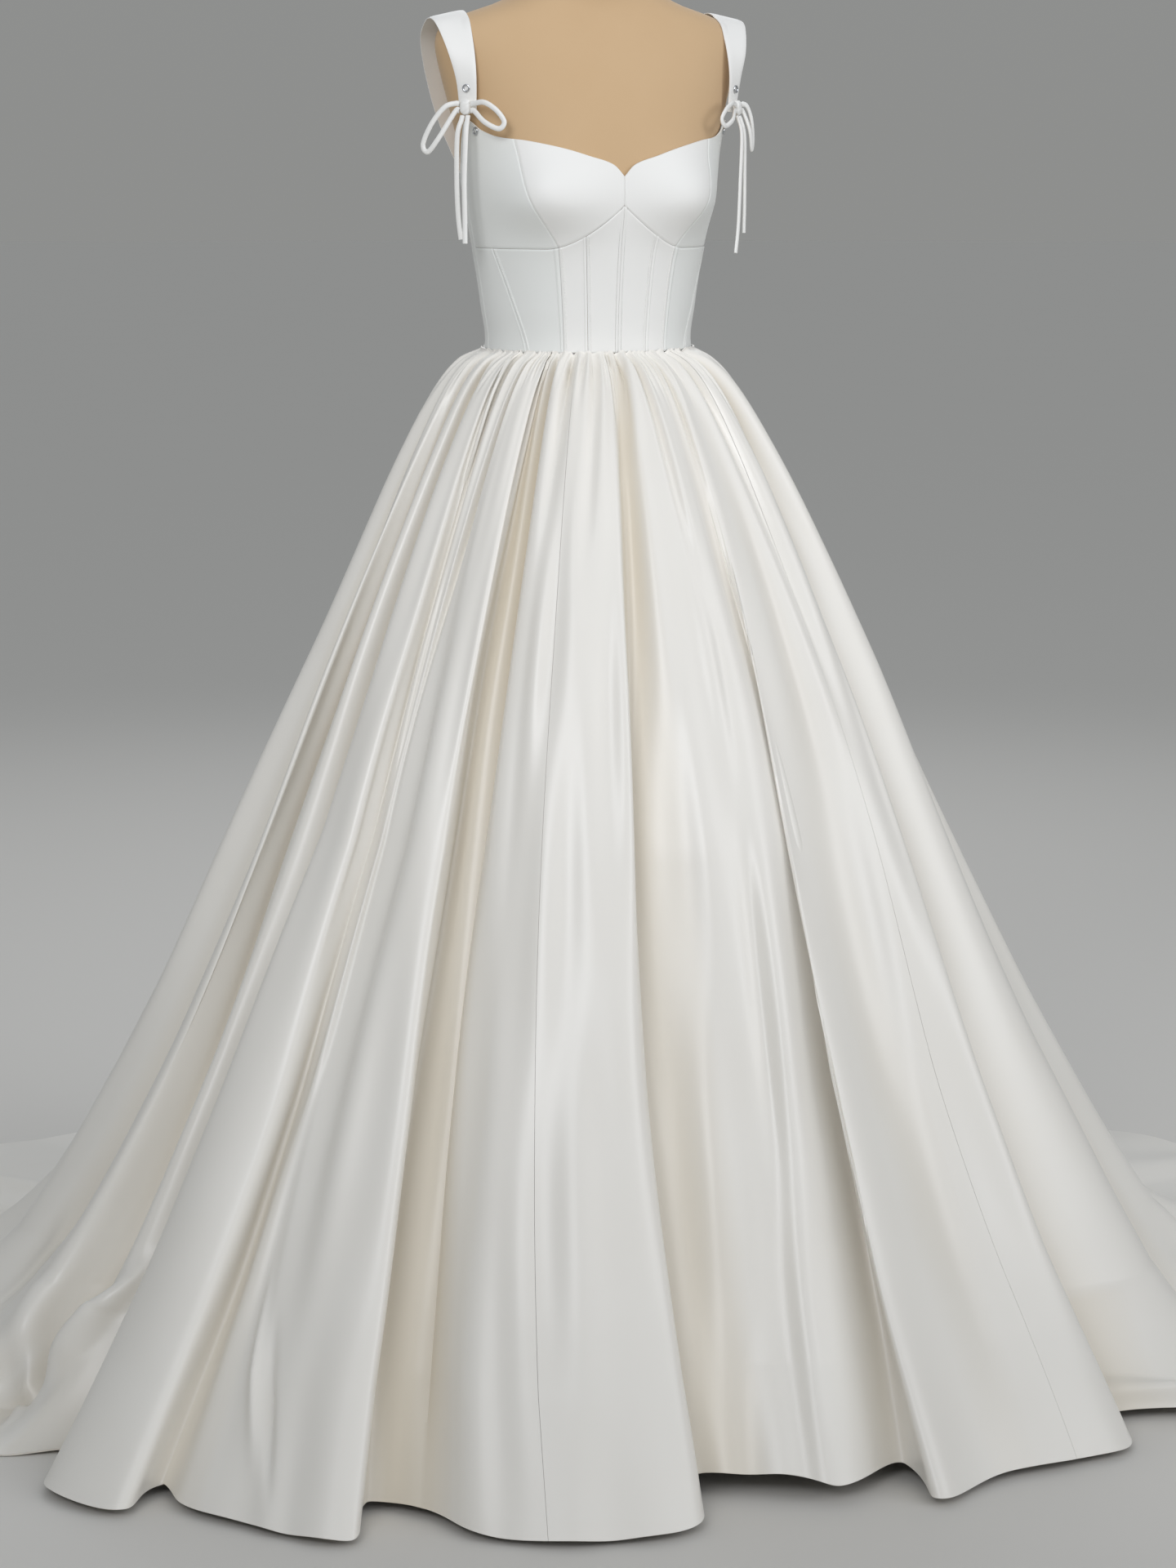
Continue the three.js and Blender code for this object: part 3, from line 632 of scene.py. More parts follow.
def add_node(tree, kind, inputs=None, **settings):
    """Adds a node with its settings, and sets or links its inputs."""
    node = tree.nodes.new(kind)
    for name, value in settings.items():
        setattr(node, name, value)
    for socket, value in (inputs or {}).items():
        if isinstance(value, bpy.types.NodeSocket):
            tree.links.new(value, node.inputs[socket])
        else:
            node.inputs[socket].default_value = value
    return node


def new_material(name):
    """An empty node material with its output, as (material, tree, output)."""
    material = bpy.data.materials.new(name)
    material.use_nodes = True
    material.node_tree.nodes.clear()
    return material, material.node_tree, add_node(material.node_tree, "ShaderNodeOutputMaterial")


def woven_satin(name, colour, shade, depth, roughness, slub, sheen):
    """Duchess satin, woven with long floating threads: a broad sheen with faint slubs across the warp.

    The threads are 0.1 mm apart, too fine to show, so the slubs are drawn coarser, 0.9 mm high. Deep in a
    fold the colour is mixed towards a darker, warmer ivory: painted shade, standing in for the shadow there
    and for the light that goes from cloth to cloth.
    """
    material, tree, output = new_material(name)
    cloth = add_node(tree, "ShaderNodeUVMap", uv_map="Cloth").outputs["UV"]
    scaled = add_node(tree, "ShaderNodeMapping", {"Vector": cloth, "Scale": SLUBS}).outputs["Vector"]
    slubs = add_node(tree, "ShaderNodeTexNoise", {"Vector": scaled, "Scale": 1.0, "Detail": 2.0})
    place_in = add_node(tree, "ShaderNodeTexCoord").outputs["Object"]
    cloudy = {"Vector": place_in, "Scale": CLOUDS["satin"], "Detail": 2.0}
    clouds = add_node(tree, "ShaderNodeTexNoise", cloudy)
    tint = add_node(
        tree,
        "ShaderNodeMix",
        {"Factor": clouds.outputs["Fac"], "A": colour, "B": shade},
        data_type="RGBA",
    )
    # Painted shade: the colour is mixed towards the darker, warmer depth colour where the mask on the mesh
    # says a point lies deep in a fold
    fold_depth = add_node(tree, "ShaderNodeAttribute", attribute_name="fold_depth")
    tint = add_node(
        tree,
        "ShaderNodeMix",
        {"Factor": fold_depth.outputs["Fac"], "A": tint.outputs["Result"], "B": depth},
        data_type="RGBA",
    )
    ends = {"To Min": roughness - GLOSS_SWING, "To Max": roughness + GLOSS_SWING}
    gloss = add_node(tree, "ShaderNodeMapRange", {"Value": slubs.outputs["Fac"], **ends})
    bump = add_node(
        tree,
        "ShaderNodeBump",
        {"Height": slubs.outputs["Fac"], "Strength": slub, "Distance": SLUB_HEIGHT},
    )
    surface = add_node(
        tree,
        "ShaderNodeBsdfPrincipled",
        {
            "Base Color": tint.outputs["Result"],
            "Roughness": gloss.outputs["Result"],
            "Normal": bump.outputs["Normal"],
            "Sheen Weight": sheen,
            "Sheen Roughness": SATIN_SHEEN_ROUGHNESS,
        },
    )
    tree.links.new(surface.outputs["BSDF"], output.inputs["Surface"])
    return material


def form_jersey(name, colour, shade):
    """Fine cotton jersey stretched over the form: matt, with the faint grain of its knit."""
    material, tree, output = new_material(name)
    place_in = add_node(tree, "ShaderNodeTexCoord").outputs["Object"]
    cloudy = {"Vector": place_in, "Scale": CLOUDS["jersey"], "Detail": 3.0}
    clouds = add_node(tree, "ShaderNodeTexNoise", cloudy)
    knit = add_node(tree, "ShaderNodeTexNoise", {"Vector": place_in, "Scale": KNIT, "Detail": 1.0})
    tint = add_node(
        tree,
        "ShaderNodeMix",
        {"Factor": clouds.outputs["Fac"], "A": colour, "B": shade},
        data_type="RGBA",
    )
    bump = add_node(
        tree,
        "ShaderNodeBump",
        {"Height": knit.outputs["Fac"], "Strength": JERSEY["knit"], "Distance": KNIT_HEIGHT},
    )
    surface = add_node(
        tree,
        "ShaderNodeBsdfPrincipled",
        {
            "Base Color": tint.outputs["Result"],
            "Normal": bump.outputs["Normal"],
            "Roughness": JERSEY["roughness"],
            "Sheen Weight": JERSEY["sheen"],
        },
    )
    tree.links.new(surface.outputs["BSDF"], output.inputs["Surface"])
    return material


def worked_metal(name, colour, roughness, grain):
    """Metal with the fine marks of its polishing or brushing in its gloss."""
    material, tree, output = new_material(name)
    place_in = add_node(tree, "ShaderNodeTexCoord").outputs["Object"]
    scaled = add_node(tree, "ShaderNodeMapping", {"Vector": place_in, "Scale": MARKS}).outputs["Vector"]
    brushed = add_node(tree, "ShaderNodeTexNoise", {"Vector": scaled, "Scale": 1.0, "Detail": 2.0})
    gloss = add_node(
        tree,
        "ShaderNodeMapRange",
        {"Value": brushed.outputs["Fac"], "To Min": roughness - grain, "To Max": roughness + grain},
    )
    surface = add_node(
        tree,
        "ShaderNodeBsdfPrincipled",
        {"Base Color": colour, "Metallic": 1.0, "Roughness": gloss.outputs["Result"]},
    )
    tree.links.new(surface.outputs["BSDF"], output.inputs["Surface"])
    return material


def studio_floor(name, colour):
    """Sealed pale screed: matt, with faint clouds some 40 cm wide."""
    material, tree, output = new_material(name)
    place_in = add_node(tree, "ShaderNodeTexCoord").outputs["Object"]
    cloudy = {"Vector": place_in, "Scale": CLOUDS["floor"], "Detail": 4.0}
    clouds = add_node(tree, "ShaderNodeTexNoise", cloudy)
    gloss = add_node(tree, "ShaderNodeMapRange", {"Value": clouds.outputs["Fac"], **FLOOR_GLOSS})
    surface = add_node(
        tree,
        "ShaderNodeBsdfPrincipled",
        {"Base Color": colour, "Roughness": gloss.outputs["Result"]},
    )
    tree.links.new(surface.outputs["BSDF"], output.inputs["Surface"])
    return material


# The satins: name, the colours of the cloth, of its clouds and of the painted shade deep in its folds,
# roughness, slubs and sheen
SATINS = {
    "skirt": ("ivory_duchess_satin", ("skirt", "skirt_shade", "skirt_painted_shade"), 0.33, 0.1, 0.05),
    "bodice": ("white_matt_satin", ("bodice", "bodice_shade", "bodice_shade"), 0.52, 0.12, 0.15),
    # Painted shade: the side panels' satin is the bodice white made darker and cooler
    "cross": ("white_cross_cut_satin", ("cross", "cross", "cross"), 0.52, 0.12, 0.15),
    "tie": ("white_tie_satin", ("bodice", "bodice_shade", "bodice_shade"), 0.45, 0.12, 0.15),
}


def satin_of(scene, which):
    """The satin of the skirt, the bodice, its side panels with their painted shade, or the ties, made once.
    """
    name, tones, *finish = SATINS[which]
    known = bpy.data.materials.get(name)
    if known is not None:
        return known
    colours = [getattr(scene.gown_colours, tone) for tone in tones]
    return woven_satin(name, *colours, *finish)


# Settings that a user can change
def number_property(name, description, default, **limits):
    """A number a user can change, with its limits and its unit or subtype."""
    return bpy.props.FloatProperty(name=name, description=description, default=default, **limits)


def colour_property(name, description, hex_code):
    """A colour a user can change, with its default as an sRGB hex value."""
    return bpy.props.FloatVectorProperty(
        name=name,
        description=description,
        default=linear_colour(hex_code),
        size=4,
        min=0,
        max=1,
        subtype="COLOR",
    )


class GownSizes(bpy.types.PropertyGroup):
    """Sizes of the gown's finer work."""

    gather_strength: number_property(
        "Gather strength", "How strongly the puckers and tucks below the waist show", 1, min=0
    )
    valley_pinch: number_property(
        "Valley pinch", "How far the valleys between the folds are pinched in", 0.009, min=0, unit="LENGTH"
    )
    seam_dip: number_property(
        "Seam dip", "How far the cloth sinks at a sewn seam", 0.0007, min=0, unit="LENGTH"
    )
    boning_width: number_property(
        "Boning width", "Width of a boning channel between its stitches", 0.0064, min=0.002, unit="LENGTH"
    )
    boning_height: number_property(
        "Boning height", "How far a boning channel stands out", 0.0007, min=0, unit="LENGTH"
    )
    tie_width: number_property(
        "Tie width", "Width of the turned satin ties", 0.0056, min=0.002, unit="LENGTH"
    )
    tie_depth: number_property(
        "Tie depth", "Thickness of the turned satin ties", 0.0032, min=0.001, unit="LENGTH"
    )
    stitch_pitch: number_property(
        "Stitch pitch", "Distance from one stitch to the next", 0.003, min=0.001, unit="LENGTH"
    )
    stitch_width: number_property(
        "Thread width", "Thickness of the sewing thread", 0.0004, min=0.0001, unit="LENGTH"
    )


class GownColours(bpy.types.PropertyGroup):
    """Colours of the gown, the form and the stage."""

    skirt: colour_property("Skirt satin", "Ivory satin of the skirt", "#f0ede6")
    skirt_shade: colour_property("Skirt shade", "Deeper ivory in the skirt's cloth", "#ede9e1")
    # Painted shade: a darker, warmer ivory that the skirt's colour is mixed towards deep in its folds
    skirt_painted_shade: colour_property("Skirt depths", "Warm ivory deep in the skirt's folds", "#d8cdb8")
    bodice: colour_property("Bodice satin", "Cool white satin of the bodice", "#f3f2ee")
    bodice_shade: colour_property("Bodice shade", "Deeper white in the bodice's cloth", "#f0efeb")
    # Painted shade: a darker, cooler copy of the bodice white for the side panels, standing in for how the
    # cross-grain satin takes the light and for shade where they turn away
    cross: colour_property("Cross-cut satin", "Cooler white of panels cut across the grain", "#ebece8")
    form: colour_property("Form cover", "Tan jersey of the dress form", "#d0b18a")
    form_shade: colour_property("Form shade", "Deeper tan in the jersey", "#cbab83")
    silver: colour_property("Eyelet metal", "Polished eyelets", "#c9cbce")
    steel: colour_property("Stand metal", "Brushed steel of the stand", "#8d8f92")
    floor: colour_property("Floor", "Pale studio floor", "#dcd9d3")
    backdrop: colour_property("Backdrop", "Pale surroundings at the level of the floor", "#d8d9d7")
    sky: colour_property("Sky", "Cooler light from overhead", "#d8dfe6")


class GownStage(bpy.types.PropertyGroup):
    """Where the camera stands and how bright the lights are."""

    camera_azimuth: number_property(
        "Camera azimuth", "The side that the camera sees", math.radians(-20), subtype="ANGLE"
    )
    camera_distance: number_property(
        "Camera distance", "Distance from the gown's axis along the floor", 3.96, unit="LENGTH"
    )
    camera_height: number_property(
        "Camera height", "Height of the camera above the floor", 1.32, unit="LENGTH"
    )
    camera_pitch: number_property(
        "Camera pitch", "How far the camera looks down", math.radians(10.25), subtype="ANGLE"
    )
    lens: number_property("Lens", "Focal length on a 36 mm long side", 83.2, min=10)
    key_power: number_property(
        "Key light", "Power of the large soft light in watts", 8.8, min=0, subtype="POWER"
    )
    fill_power: number_property(
        "Fill light", "Power of the soft light opposite, in watts", 7.0, min=0, subtype="POWER"
    )
    rim_power: number_property(
        "Back light", "Power of the soft light behind the train, in watts", 18, min=0, subtype="POWER"
    )
    daylight: number_property(
        "Daylight",
        "Strength of the wide light from above the camera, in watts a square metre",
        0.46,
        min=0,
    )
    surround: number_property("Surround", "Strength of the even light from overhead", 0.44, min=0)
    horizon: number_property(
        "Horizon", "Strength of the even light from the level of the floor", 0.396, min=0
    )


# The figure and the dress form
def cup_rise(azimuth, z):
    """How far the cups stand out of the figure."""
    up_down = (z - CUP["z"]) / np.where(z > CUP["z"], CUP["above"], CUP["below"])
    across = (np.abs(azimuth) - CUP["azimuth"]) / CUP["spread"]
    return CUP["rise"] * np.exp(-across ** 2 - up_down ** 2)


def figure_radius(azimuth, z):
    """Radius of the outside of the bodice cloth."""
    azimuth, z = np.broadcast_arrays(np.asarray(azimuth, float), np.asarray(z, float))
    facing = (azimuth + 180) % 360 - 180
    turn = np.radians(facing)
    depth = np.where(
        np.abs(facing) < 90,
        along(FIGURE, "z", "front", z),
        along(FIGURE, "z", "back", z),
    )
    reach = 1 / np.hypot(np.sin(turn) / along(FIGURE, "z", "side", z), np.cos(turn) / depth)
    return reach + cup_rise(facing, z)


def finish_node(name, material):
    """Gives a solid that stays in view its finish."""
    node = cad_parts[name]
    node.data.materials.clear()
    node.data.materials.append(material)


class GOWN_OT_form(bpy.types.Operator):
    """Makes the jersey covered dress form, and finishes its cap and stand"""

    bl_idname = "gown.build_form"
    bl_label = "Dress form and stand"

    def execute(self, context):
        colours = context.scene.gown_colours
        jersey = form_jersey("tan_cotton_jersey", colours.form, colours.form_shade)
        steel = worked_metal("brushed_stand_steel", colours.steel, **STEEL)
        rows = int((NECK_TOP_Z - FORM_BOTTOM_Z) / FORM_ROW) + 1
        heights = np.linspace(FORM_BOTTOM_Z, NECK_TOP_Z, rows)
        azimuth, z = np.meshgrid(np.linspace(0, 360, FORM_COLUMNS + 1), heights)
        grid = polar(azimuth, figure_radius(azimuth, z) - FORM_INSET, z)
        form = new_object("dress_form", tube_mesh("dress_form", grid), jersey)
        place(form, "form_cloth", "form_torso")
        for node in ("form_neck_cap", "stand_pole", "stand_base"):
            finish_node(node, steel)
        return {"FINISHED"}


# Bodice
def top_edge(azimuth):
    """Height of the bodice's top edge."""
    return along(NECKLINE, "azimuth", "z", np.abs(azimuth))


def underbust_edge(azimuth):
    """Height of the underbust seam."""
    share = np.clip(1 - np.abs(azimuth) / UNDERBUST["reach"], 0, 1)
    return UNDERBUST["z"] + UNDERBUST["peak"] * share ** UNDERBUST["curve"]


def waist_edge(azimuth):
    """Height of the waist seam."""
    return np.full_like(np.asarray(azimuth, float), WAIST_Z)


PANEL_SPANS = {
    "corset": (waist_edge, underbust_edge, WAIST, UNDER),
    "cup": (underbust_edge, top_edge, UNDER, TOP),
    "back": (waist_edge, top_edge, WAIST, TOP),
}


def panel_steps(length):
    """Places from 0 to 1 across a panel, closer together beside its seams."""
    edge = np.array(EDGE_STEPS)
    middle = np.linspace(edge[-1], length - edge[-1], max(int(length / PANEL_STEP), 4))
    return np.concatenate([edge, middle[1:-1], length - edge[::-1]]) / length


def seam_relief(distance, boned, sizes):
    """Relief beside a seam: it sinks at the seam, and a boned one has a raised channel with sewn edges."""
    relief = -sizes.seam_dip / MM * np.exp(-((distance / SEAM["dip_width"]) ** 2))
    if boned:
        half = sizes.boning_width / MM / 2
        plateau = 1 / (1 + np.exp((distance - half) / SEAM["channel_edge"]))
        groove = np.exp(-(((distance - half) / SEAM["groove_width"]) ** 2))
        relief += sizes.boning_height / MM * (plateau - SEAM["groove_share"] * groove)
    return relief


def bodice_grid(start, end, span, sign, sizes):
    """Outer and inner grids of a panel between two seams, columns by rising azimuth and rows upwards."""
    low_edge, high_edge, low, high = PANEL_SPANS[span]
    start_low, start_high = SEAMS[start][low], SEAMS[start][high]
    end_low, end_high = SEAMS[end][low], SEAMS[end][high]
    middle = (start_low + end_low) / 2
    tall = float(high_edge(middle) - low_edge(middle))
    wide = math.radians(end_low - start_low) * float(figure_radius(middle, low_edge(middle) + tall / 2))
    across, share = np.meshgrid(panel_steps(wide), panel_steps(tall))
    low_azimuth = start_low + (end_low - start_low) * across
    high_azimuth = start_high + (end_high - start_high) * across
    azimuth = low_azimuth + (high_azimuth - low_azimuth) * share
    half = SEAM_GAP / 2
    z = low_edge(azimuth) + half + (high_edge(azimuth) - low_edge(azimuth) - SEAM_GAP) * share
    radius = figure_radius(azimuth, z)
    azimuth = azimuth + np.degrees(half / radius) * (1 - 2 * across)
    breadth = radius * np.radians(end_low - start_low)
    boned_start = start in BONED_SEAMS and span != "cup"
    boned_end = end in BONED_SEAMS and span != "cup"
    relief = seam_relief(across * breadth, boned_start, sizes)
    relief += seam_relief((1 - across) * breadth, boned_end, sizes)
    rise = (high_edge(azimuth) - low_edge(azimuth)) * share
    relief += seam_relief(rise, False, sizes)
    if high_edge is underbust_edge:
        relief += seam_relief((1 - share) * rise / np.maximum(share, LEAST_SHARE), False, sizes)
    outer = polar(sign * azimuth, radius + relief, z)
    inner = polar(sign * azimuth, radius - BODICE_CLOTH, z)
    if sign < 0:
        outer, inner = outer[:, ::-1], inner[:, ::-1]
    return outer, inner


class GOWN_OT_bodice(bpy.types.Operator):
    """Makes the cups and the boned corset panels"""

    bl_idname = "gown.build_bodice"
    bl_label = "Corset bodice"

    def execute(self, context):
        for side, sign in SIDES:
            for name, start, end, span, satin in PANELS:
                node = f"{name}_{side}"
                outer, inner = bodice_grid(start, end, span, sign, context.scene.gown_sizes)
                piece = shell(f"cloth_{node}", outer, inner, satin_of(context.scene, satin))
                place(piece, "bodice_satin", node)
        return {"FINISHED"}


# Straps
def strap_frames(sign, places):
    """A strap's middle line, the ways across and out of it, and its width."""
    points = np.stack([sign * STRAP["x"], STRAP["y"], STRAP["z"]], axis=-1)
    middle = curve_through(points, places)
    rows = {"share": np.linspace(0, 1, len(points)), **STRAP}
    facing = sign * along(rows, "share", "facing", places)
    up = np.radians(along(rows, "share", "up", places))
    faced = outwards(facing) * np.cos(up)[:, None]
    faced[:, 2] = np.sin(up)
    tangent = unit(np.gradient(middle, axis=0))
    across = unit(np.cross(faced, tangent))
    out = unit(np.cross(tangent, across))
    return middle, across, out, along(rows, "share", "width", places)


def lift_off_form(points, directions):
    """Moves points out until they are clear of the form."""
    points = points.copy()
    for _ in range(STRAP_LIFTS):
        least = figure_radius(azimuth_of(points), points[..., 2]) - FORM_INSET + STRAP_REST
        inside = np.hypot(points[..., 0], points[..., 1]) < least
        if not inside.any():
            return points
        points[inside] += STRAP_LIFT_STEP * directions[inside]
    raise RuntimeError("A strap can't be lifted clear of the form")


def strap_grid(sign):
    """Outer and inner grids of a strap and the way out of it at each row."""
    middle, across, out, width = strap_frames(sign, np.linspace(0, 1, STRAP_ROWS))
    offset = (0.5 - np.linspace(0, 1, STRAP_COLUMNS))[None, :, None]
    inner = middle[:, None] + across[:, None] * width[:, None, None] * offset
    directions = np.broadcast_to(out[:, None], inner.shape)
    inner = lift_off_form(inner, directions)
    round_off = STRAP_EDGE["round_off"] * (2 * np.abs(offset)) ** STRAP_EDGE["power"]
    outer = inner + directions * (STRAP_CLOTH - round_off)
    return outer, inner, out


class GOWN_OT_straps(bpy.types.Operator):
    """Makes the wide satin straps over the shoulders"""

    bl_idname = "gown.build_straps"
    bl_label = "Straps"

    def execute(self, context):
        satin = satin_of(context.scene, "bodice")
        for side, sign in SIDES:
            outer, inner, _ = strap_grid(sign)
            piece = shell(f"cloth_strap_{side}", outer, inner, satin)
            place(piece, "bodice_satin", f"strap_{side}")
        return {"FINISHED"}


# Ties
def clear_of_bodice(points, knot):
    """Pushes a tie's points out of the bodice, apart from those in the knot."""
    azimuth = azimuth_of(points)
    least = figure_radius(azimuth, points[:, 2]) + TIE_RADIUS + TIE_CLEARANCE
    own = np.hypot(points[:, 0], points[:, 1])
    away = np.linalg.norm(points - knot, axis=-1) >= KNOT["near"]
    return polar(azimuth, np.where(away & (own < least), least, own), points[:, 2])


def tie_path(knot, axes, route):
    """The middle line of a tie, from its route about the knot."""
    points = clear_of_bodice(knot + np.array(route) @ axes, knot)
    return curve_through(points, np.linspace(0, 1, TIE_STEPS))


def tie_mesh(name, path, face, width, depth):
    """A flattened tube of satin along a path, closed at both ends."""
    tangent = unit(np.gradient(path, axis=0))
    across = unit(np.cross(tangent, face))
    out = unit(np.cross(across, tangent))
    turn = np.linspace(0, 2 * math.pi, TIE_SIDES, endpoint=False)
    ring = np.stack([np.cos(turn) * width / 2, np.sin(turn) * depth / 2], axis=-1)
    grid = path[:, None] + across[:, None] * ring[None, :, :1] + out[:, None] * ring[None, :, 1:]
    return tube_mesh(name, np.concatenate([grid, grid[:, :1]], axis=1))


def knot_mesh(name, centre, axes):
    """A soft knot: a rounded lump with the wrap of the tie slanting across it."""
    turns = np.linspace(0, 2 * math.pi, KNOT_COLUMNS)
    longitude, latitude = np.meshgrid(turns, np.linspace(-math.pi / 2, math.pi / 2, KNOT_ROWS))

    def rounded(value):
        return np.sign(value) * np.abs(value) ** KNOT["roundness"]

    x = rounded(np.cos(latitude)) * rounded(np.cos(longitude))
    y = -rounded(np.cos(latitude)) * rounded(np.sin(longitude))
    z = rounded(np.sin(latitude))
    size = np.ones_like(x)
    for edge in WRAP["edges"]:
        size -= WRAP["depth"] * np.exp(-(((z - WRAP["slant"] * x - edge) / WRAP["width"]) ** 2))
    half = np.array([KNOT["wide"], KNOT["deep"], KNOT["tall"]]) / 2
    local = np.stack([x, y, z], axis=-1) * size[..., None] * half
    return tube_mesh(name, centre + local @ axes)


class GOWN_OT_ties(bpy.types.Operator):
    """Ties the bows: a knot, two loops and two tails on each side"""

    bl_idname = "gown.build_ties"
    bl_label = "Tied bows"

    def execute(self, context):
        satin = satin_of(context.scene, "tie")
        sizes = context.scene.gown_sizes
        for side, sign in SIDES:
            axes = facing_axes(sign * STRAP["facing"][0])
            _, out, _ = axes
            knot = np.array(middle_of(f"tie_knot_{side}")) / MM
            mesh = knot_mesh(f"satin_knot_{side}", knot, axes)
            place(new_object(mesh.name, mesh, satin), "tie_satin", f"tie_knot_{side}")
            for part, route in TIE_ROUTES[side].items():
                path = tie_path(knot, axes, route)
                name = f"satin_{part}_{side}"
                mesh = tie_mesh(name, path, out, sizes.tie_width / MM, sizes.tie_depth / MM)
                piece = place(new_object(name, mesh, satin), "tie_satin", f"tie_{part}_{side}")
        return {"FINISHED"}


# Geometry Nodes
def new_tree(name, *inputs):
    """A geometry node tree with a mesh in and out, and named inputs with their types."""
    tree = bpy.data.node_groups.new(name, "GeometryNodeTree")
    tree.interface.new_socket("Geometry", in_out="INPUT", socket_type="NodeSocketGeometry")
    tree.interface.new_socket("Geometry", in_out="OUTPUT", socket_type="NodeSocketGeometry")
    for label, kind in inputs:
        tree.interface.new_socket(label, in_out="INPUT", socket_type=kind)
    source = add_node(tree, "NodeGroupInput").outputs
    sink = add_node(tree, "NodeGroupOutput")
    return tree, source, sink


def grow(name, mesh, tree, settings):
    """Runs a node tree on a mesh and returns the result as a plain piece."""
    carrier = new_object(f"{name}_guide", mesh)
    modifier = carrier.modifiers.new("Nodes", "NODES")
    modifier.node_group = tree
    for item in tree.interface.items_tree:
        if item.item_type == "SOCKET" and item.name in settings:
            modifier[item.identifier] = settings[item.name]
    evaluated = carrier.evaluated_get(bpy.context.evaluated_depsgraph_get())
    grown = bpy.data.meshes.new_from_object(evaluated)
    if not grown.polygons:
        raise RuntimeError(f"{name} grew no faces")
    grown.name = name
    carrier.modifiers.clear()
    bpy.data.objects.remove(carrier)
    grown.shade_smooth()
    return new_object(name, grown)


def end_tree(tree, sink, real, material):
    """Ends a tree: its realised pieces take their material and leave it."""
    finished = add_node(
        tree,
        "GeometryNodeSetMaterial",
        {"Geometry": real.outputs["Geometry"], "Material": material},
    )
    tree.links.new(finished.outputs["Geometry"], sink.inputs["Geometry"])


def eyelet_tree():
    """Sets a round metal ring on each point, turned to the point's own direction."""
    tree, source, sink = new_tree(
        "Eyelet rings",
        ("Radius", "NodeSocketFloat"),
        ("Wire", "NodeSocketFloat"),
        ("Metal", "NodeSocketMaterial"),
    )
    circle = "GeometryNodeCurvePrimitiveCircle"
    ring = add_node(tree, circle, {"Resolution": RING_STEPS, "Radius": source["Radius"]})
    wire = add_node(tree, circle, {"Resolution": WIRE_SIDES, "Radius": source["Wire"]})
    body = add_node(
        tree,
        "GeometryNodeCurveToMesh",
        {"Curve": ring.outputs["Curve"], "Profile Curve": wire.outputs["Curve"]},
    )
    facing = add_node(tree, "GeometryNodeInputNamedAttribute", {"Name": "facing"}, data_type="FLOAT_VECTOR")
    turn = add_node(
        tree,
        "FunctionNodeAlignRotationToVector",
        {"Vector": facing.outputs["Attribute"]},
        axis="Z",
    )
    rings = add_node(
        tree,
        "GeometryNodeInstanceOnPoints",
        {
            "Points": source["Geometry"],
            "Instance": body.outputs["Mesh"],
            "Rotation": turn.outputs["Rotation"],
        },
    )
    real = add_node(tree, "GeometryNodeRealizeInstances", {"Geometry": rings.outputs["Instances"]})
    end_tree(tree, sink, real, source["Metal"])
    return tree


def stitch_tree():
    """Lays a short thread at each step along the sewing lines."""
    tree, source, sink = new_tree(
        "Rows of stitches",
        ("Pitch", "NodeSocketFloat"),
        ("Thread", "NodeSocketFloat"),
        ("Length", "NodeSocketFloat"),
        ("Cloth", "NodeSocketMaterial"),
    )
    lines = add_node(tree, "GeometryNodeMeshToCurve", {"Mesh": source["Geometry"]})
    steps = add_node(
        tree,
        "GeometryNodeResampleCurve",
        {"Curve": lines.outputs["Curve"], "Length": source["Pitch"]},
        mode="LENGTH",
    )
    tangent = add_node(tree, "GeometryNodeInputTangent")
    turn = add_node(
        tree,
        "FunctionNodeAlignRotationToVector",
        {"Vector": tangent.outputs["Tangent"]},
        axis="Z",
    )
    thread = add_node(
        tree,
        "GeometryNodeMeshCylinder",
        {"Vertices": THREAD_SIDES, "Radius": source["Thread"], "Depth": source["Length"]},
    )
    stitches = add_node(
        tree,
        "GeometryNodeInstanceOnPoints",
        {
            "Points": steps.outputs["Curve"],
            "Instance": thread.outputs["Mesh"],
            "Rotation": turn.outputs["Rotation"],
        },
    )
    real = add_node(tree, "GeometryNodeRealizeInstances", {"Geometry": stitches.outputs["Instances"]})
    end_tree(tree, sink, real, source["Cloth"])
    return tree


class GOWN_OT_eyelets(bpy.types.Operator):
    """Sets the metal eyelets on the straps and the bodice"""

    bl_idname = "gown.build_eyelets"
    bl_label = "Eyelets"

    def execute(self, context):
        silver = worked_metal("polished_eyelet_metal", context.scene.gown_colours.silver, **SILVER)
        for side, sign in SIDES:
            nodes = [f"eyelet_strap_{side}", f"eyelet_bodice_{side}"]
            _, _, out_of_strap = strap_grid(sign)
            ways = [out_of_strap[EYELET["strap_row"]], outwards(sign * EYELET["azimuth"])]
            mesh = bpy.data.meshes.new(f"eyelet_seats_{side}")
            mesh.from_pydata([middle_of(node) for node in nodes], [], [])
            facing = mesh.attributes.new("facing", "FLOAT_VECTOR", "POINT")
            facing.data.foreach_set("vector", np.array(ways).ravel())
            rings = grow(
                f"metal_eyelets_{side}",
                mesh,
                eyelet_tree(),
                {"Radius": EYELET["radius"] * MM, "Wire": EYELET["wire"] * MM, "Metal": silver},
            )
            place(rings, "eyelet_metal", *nodes)
        return {"FINISHED"}


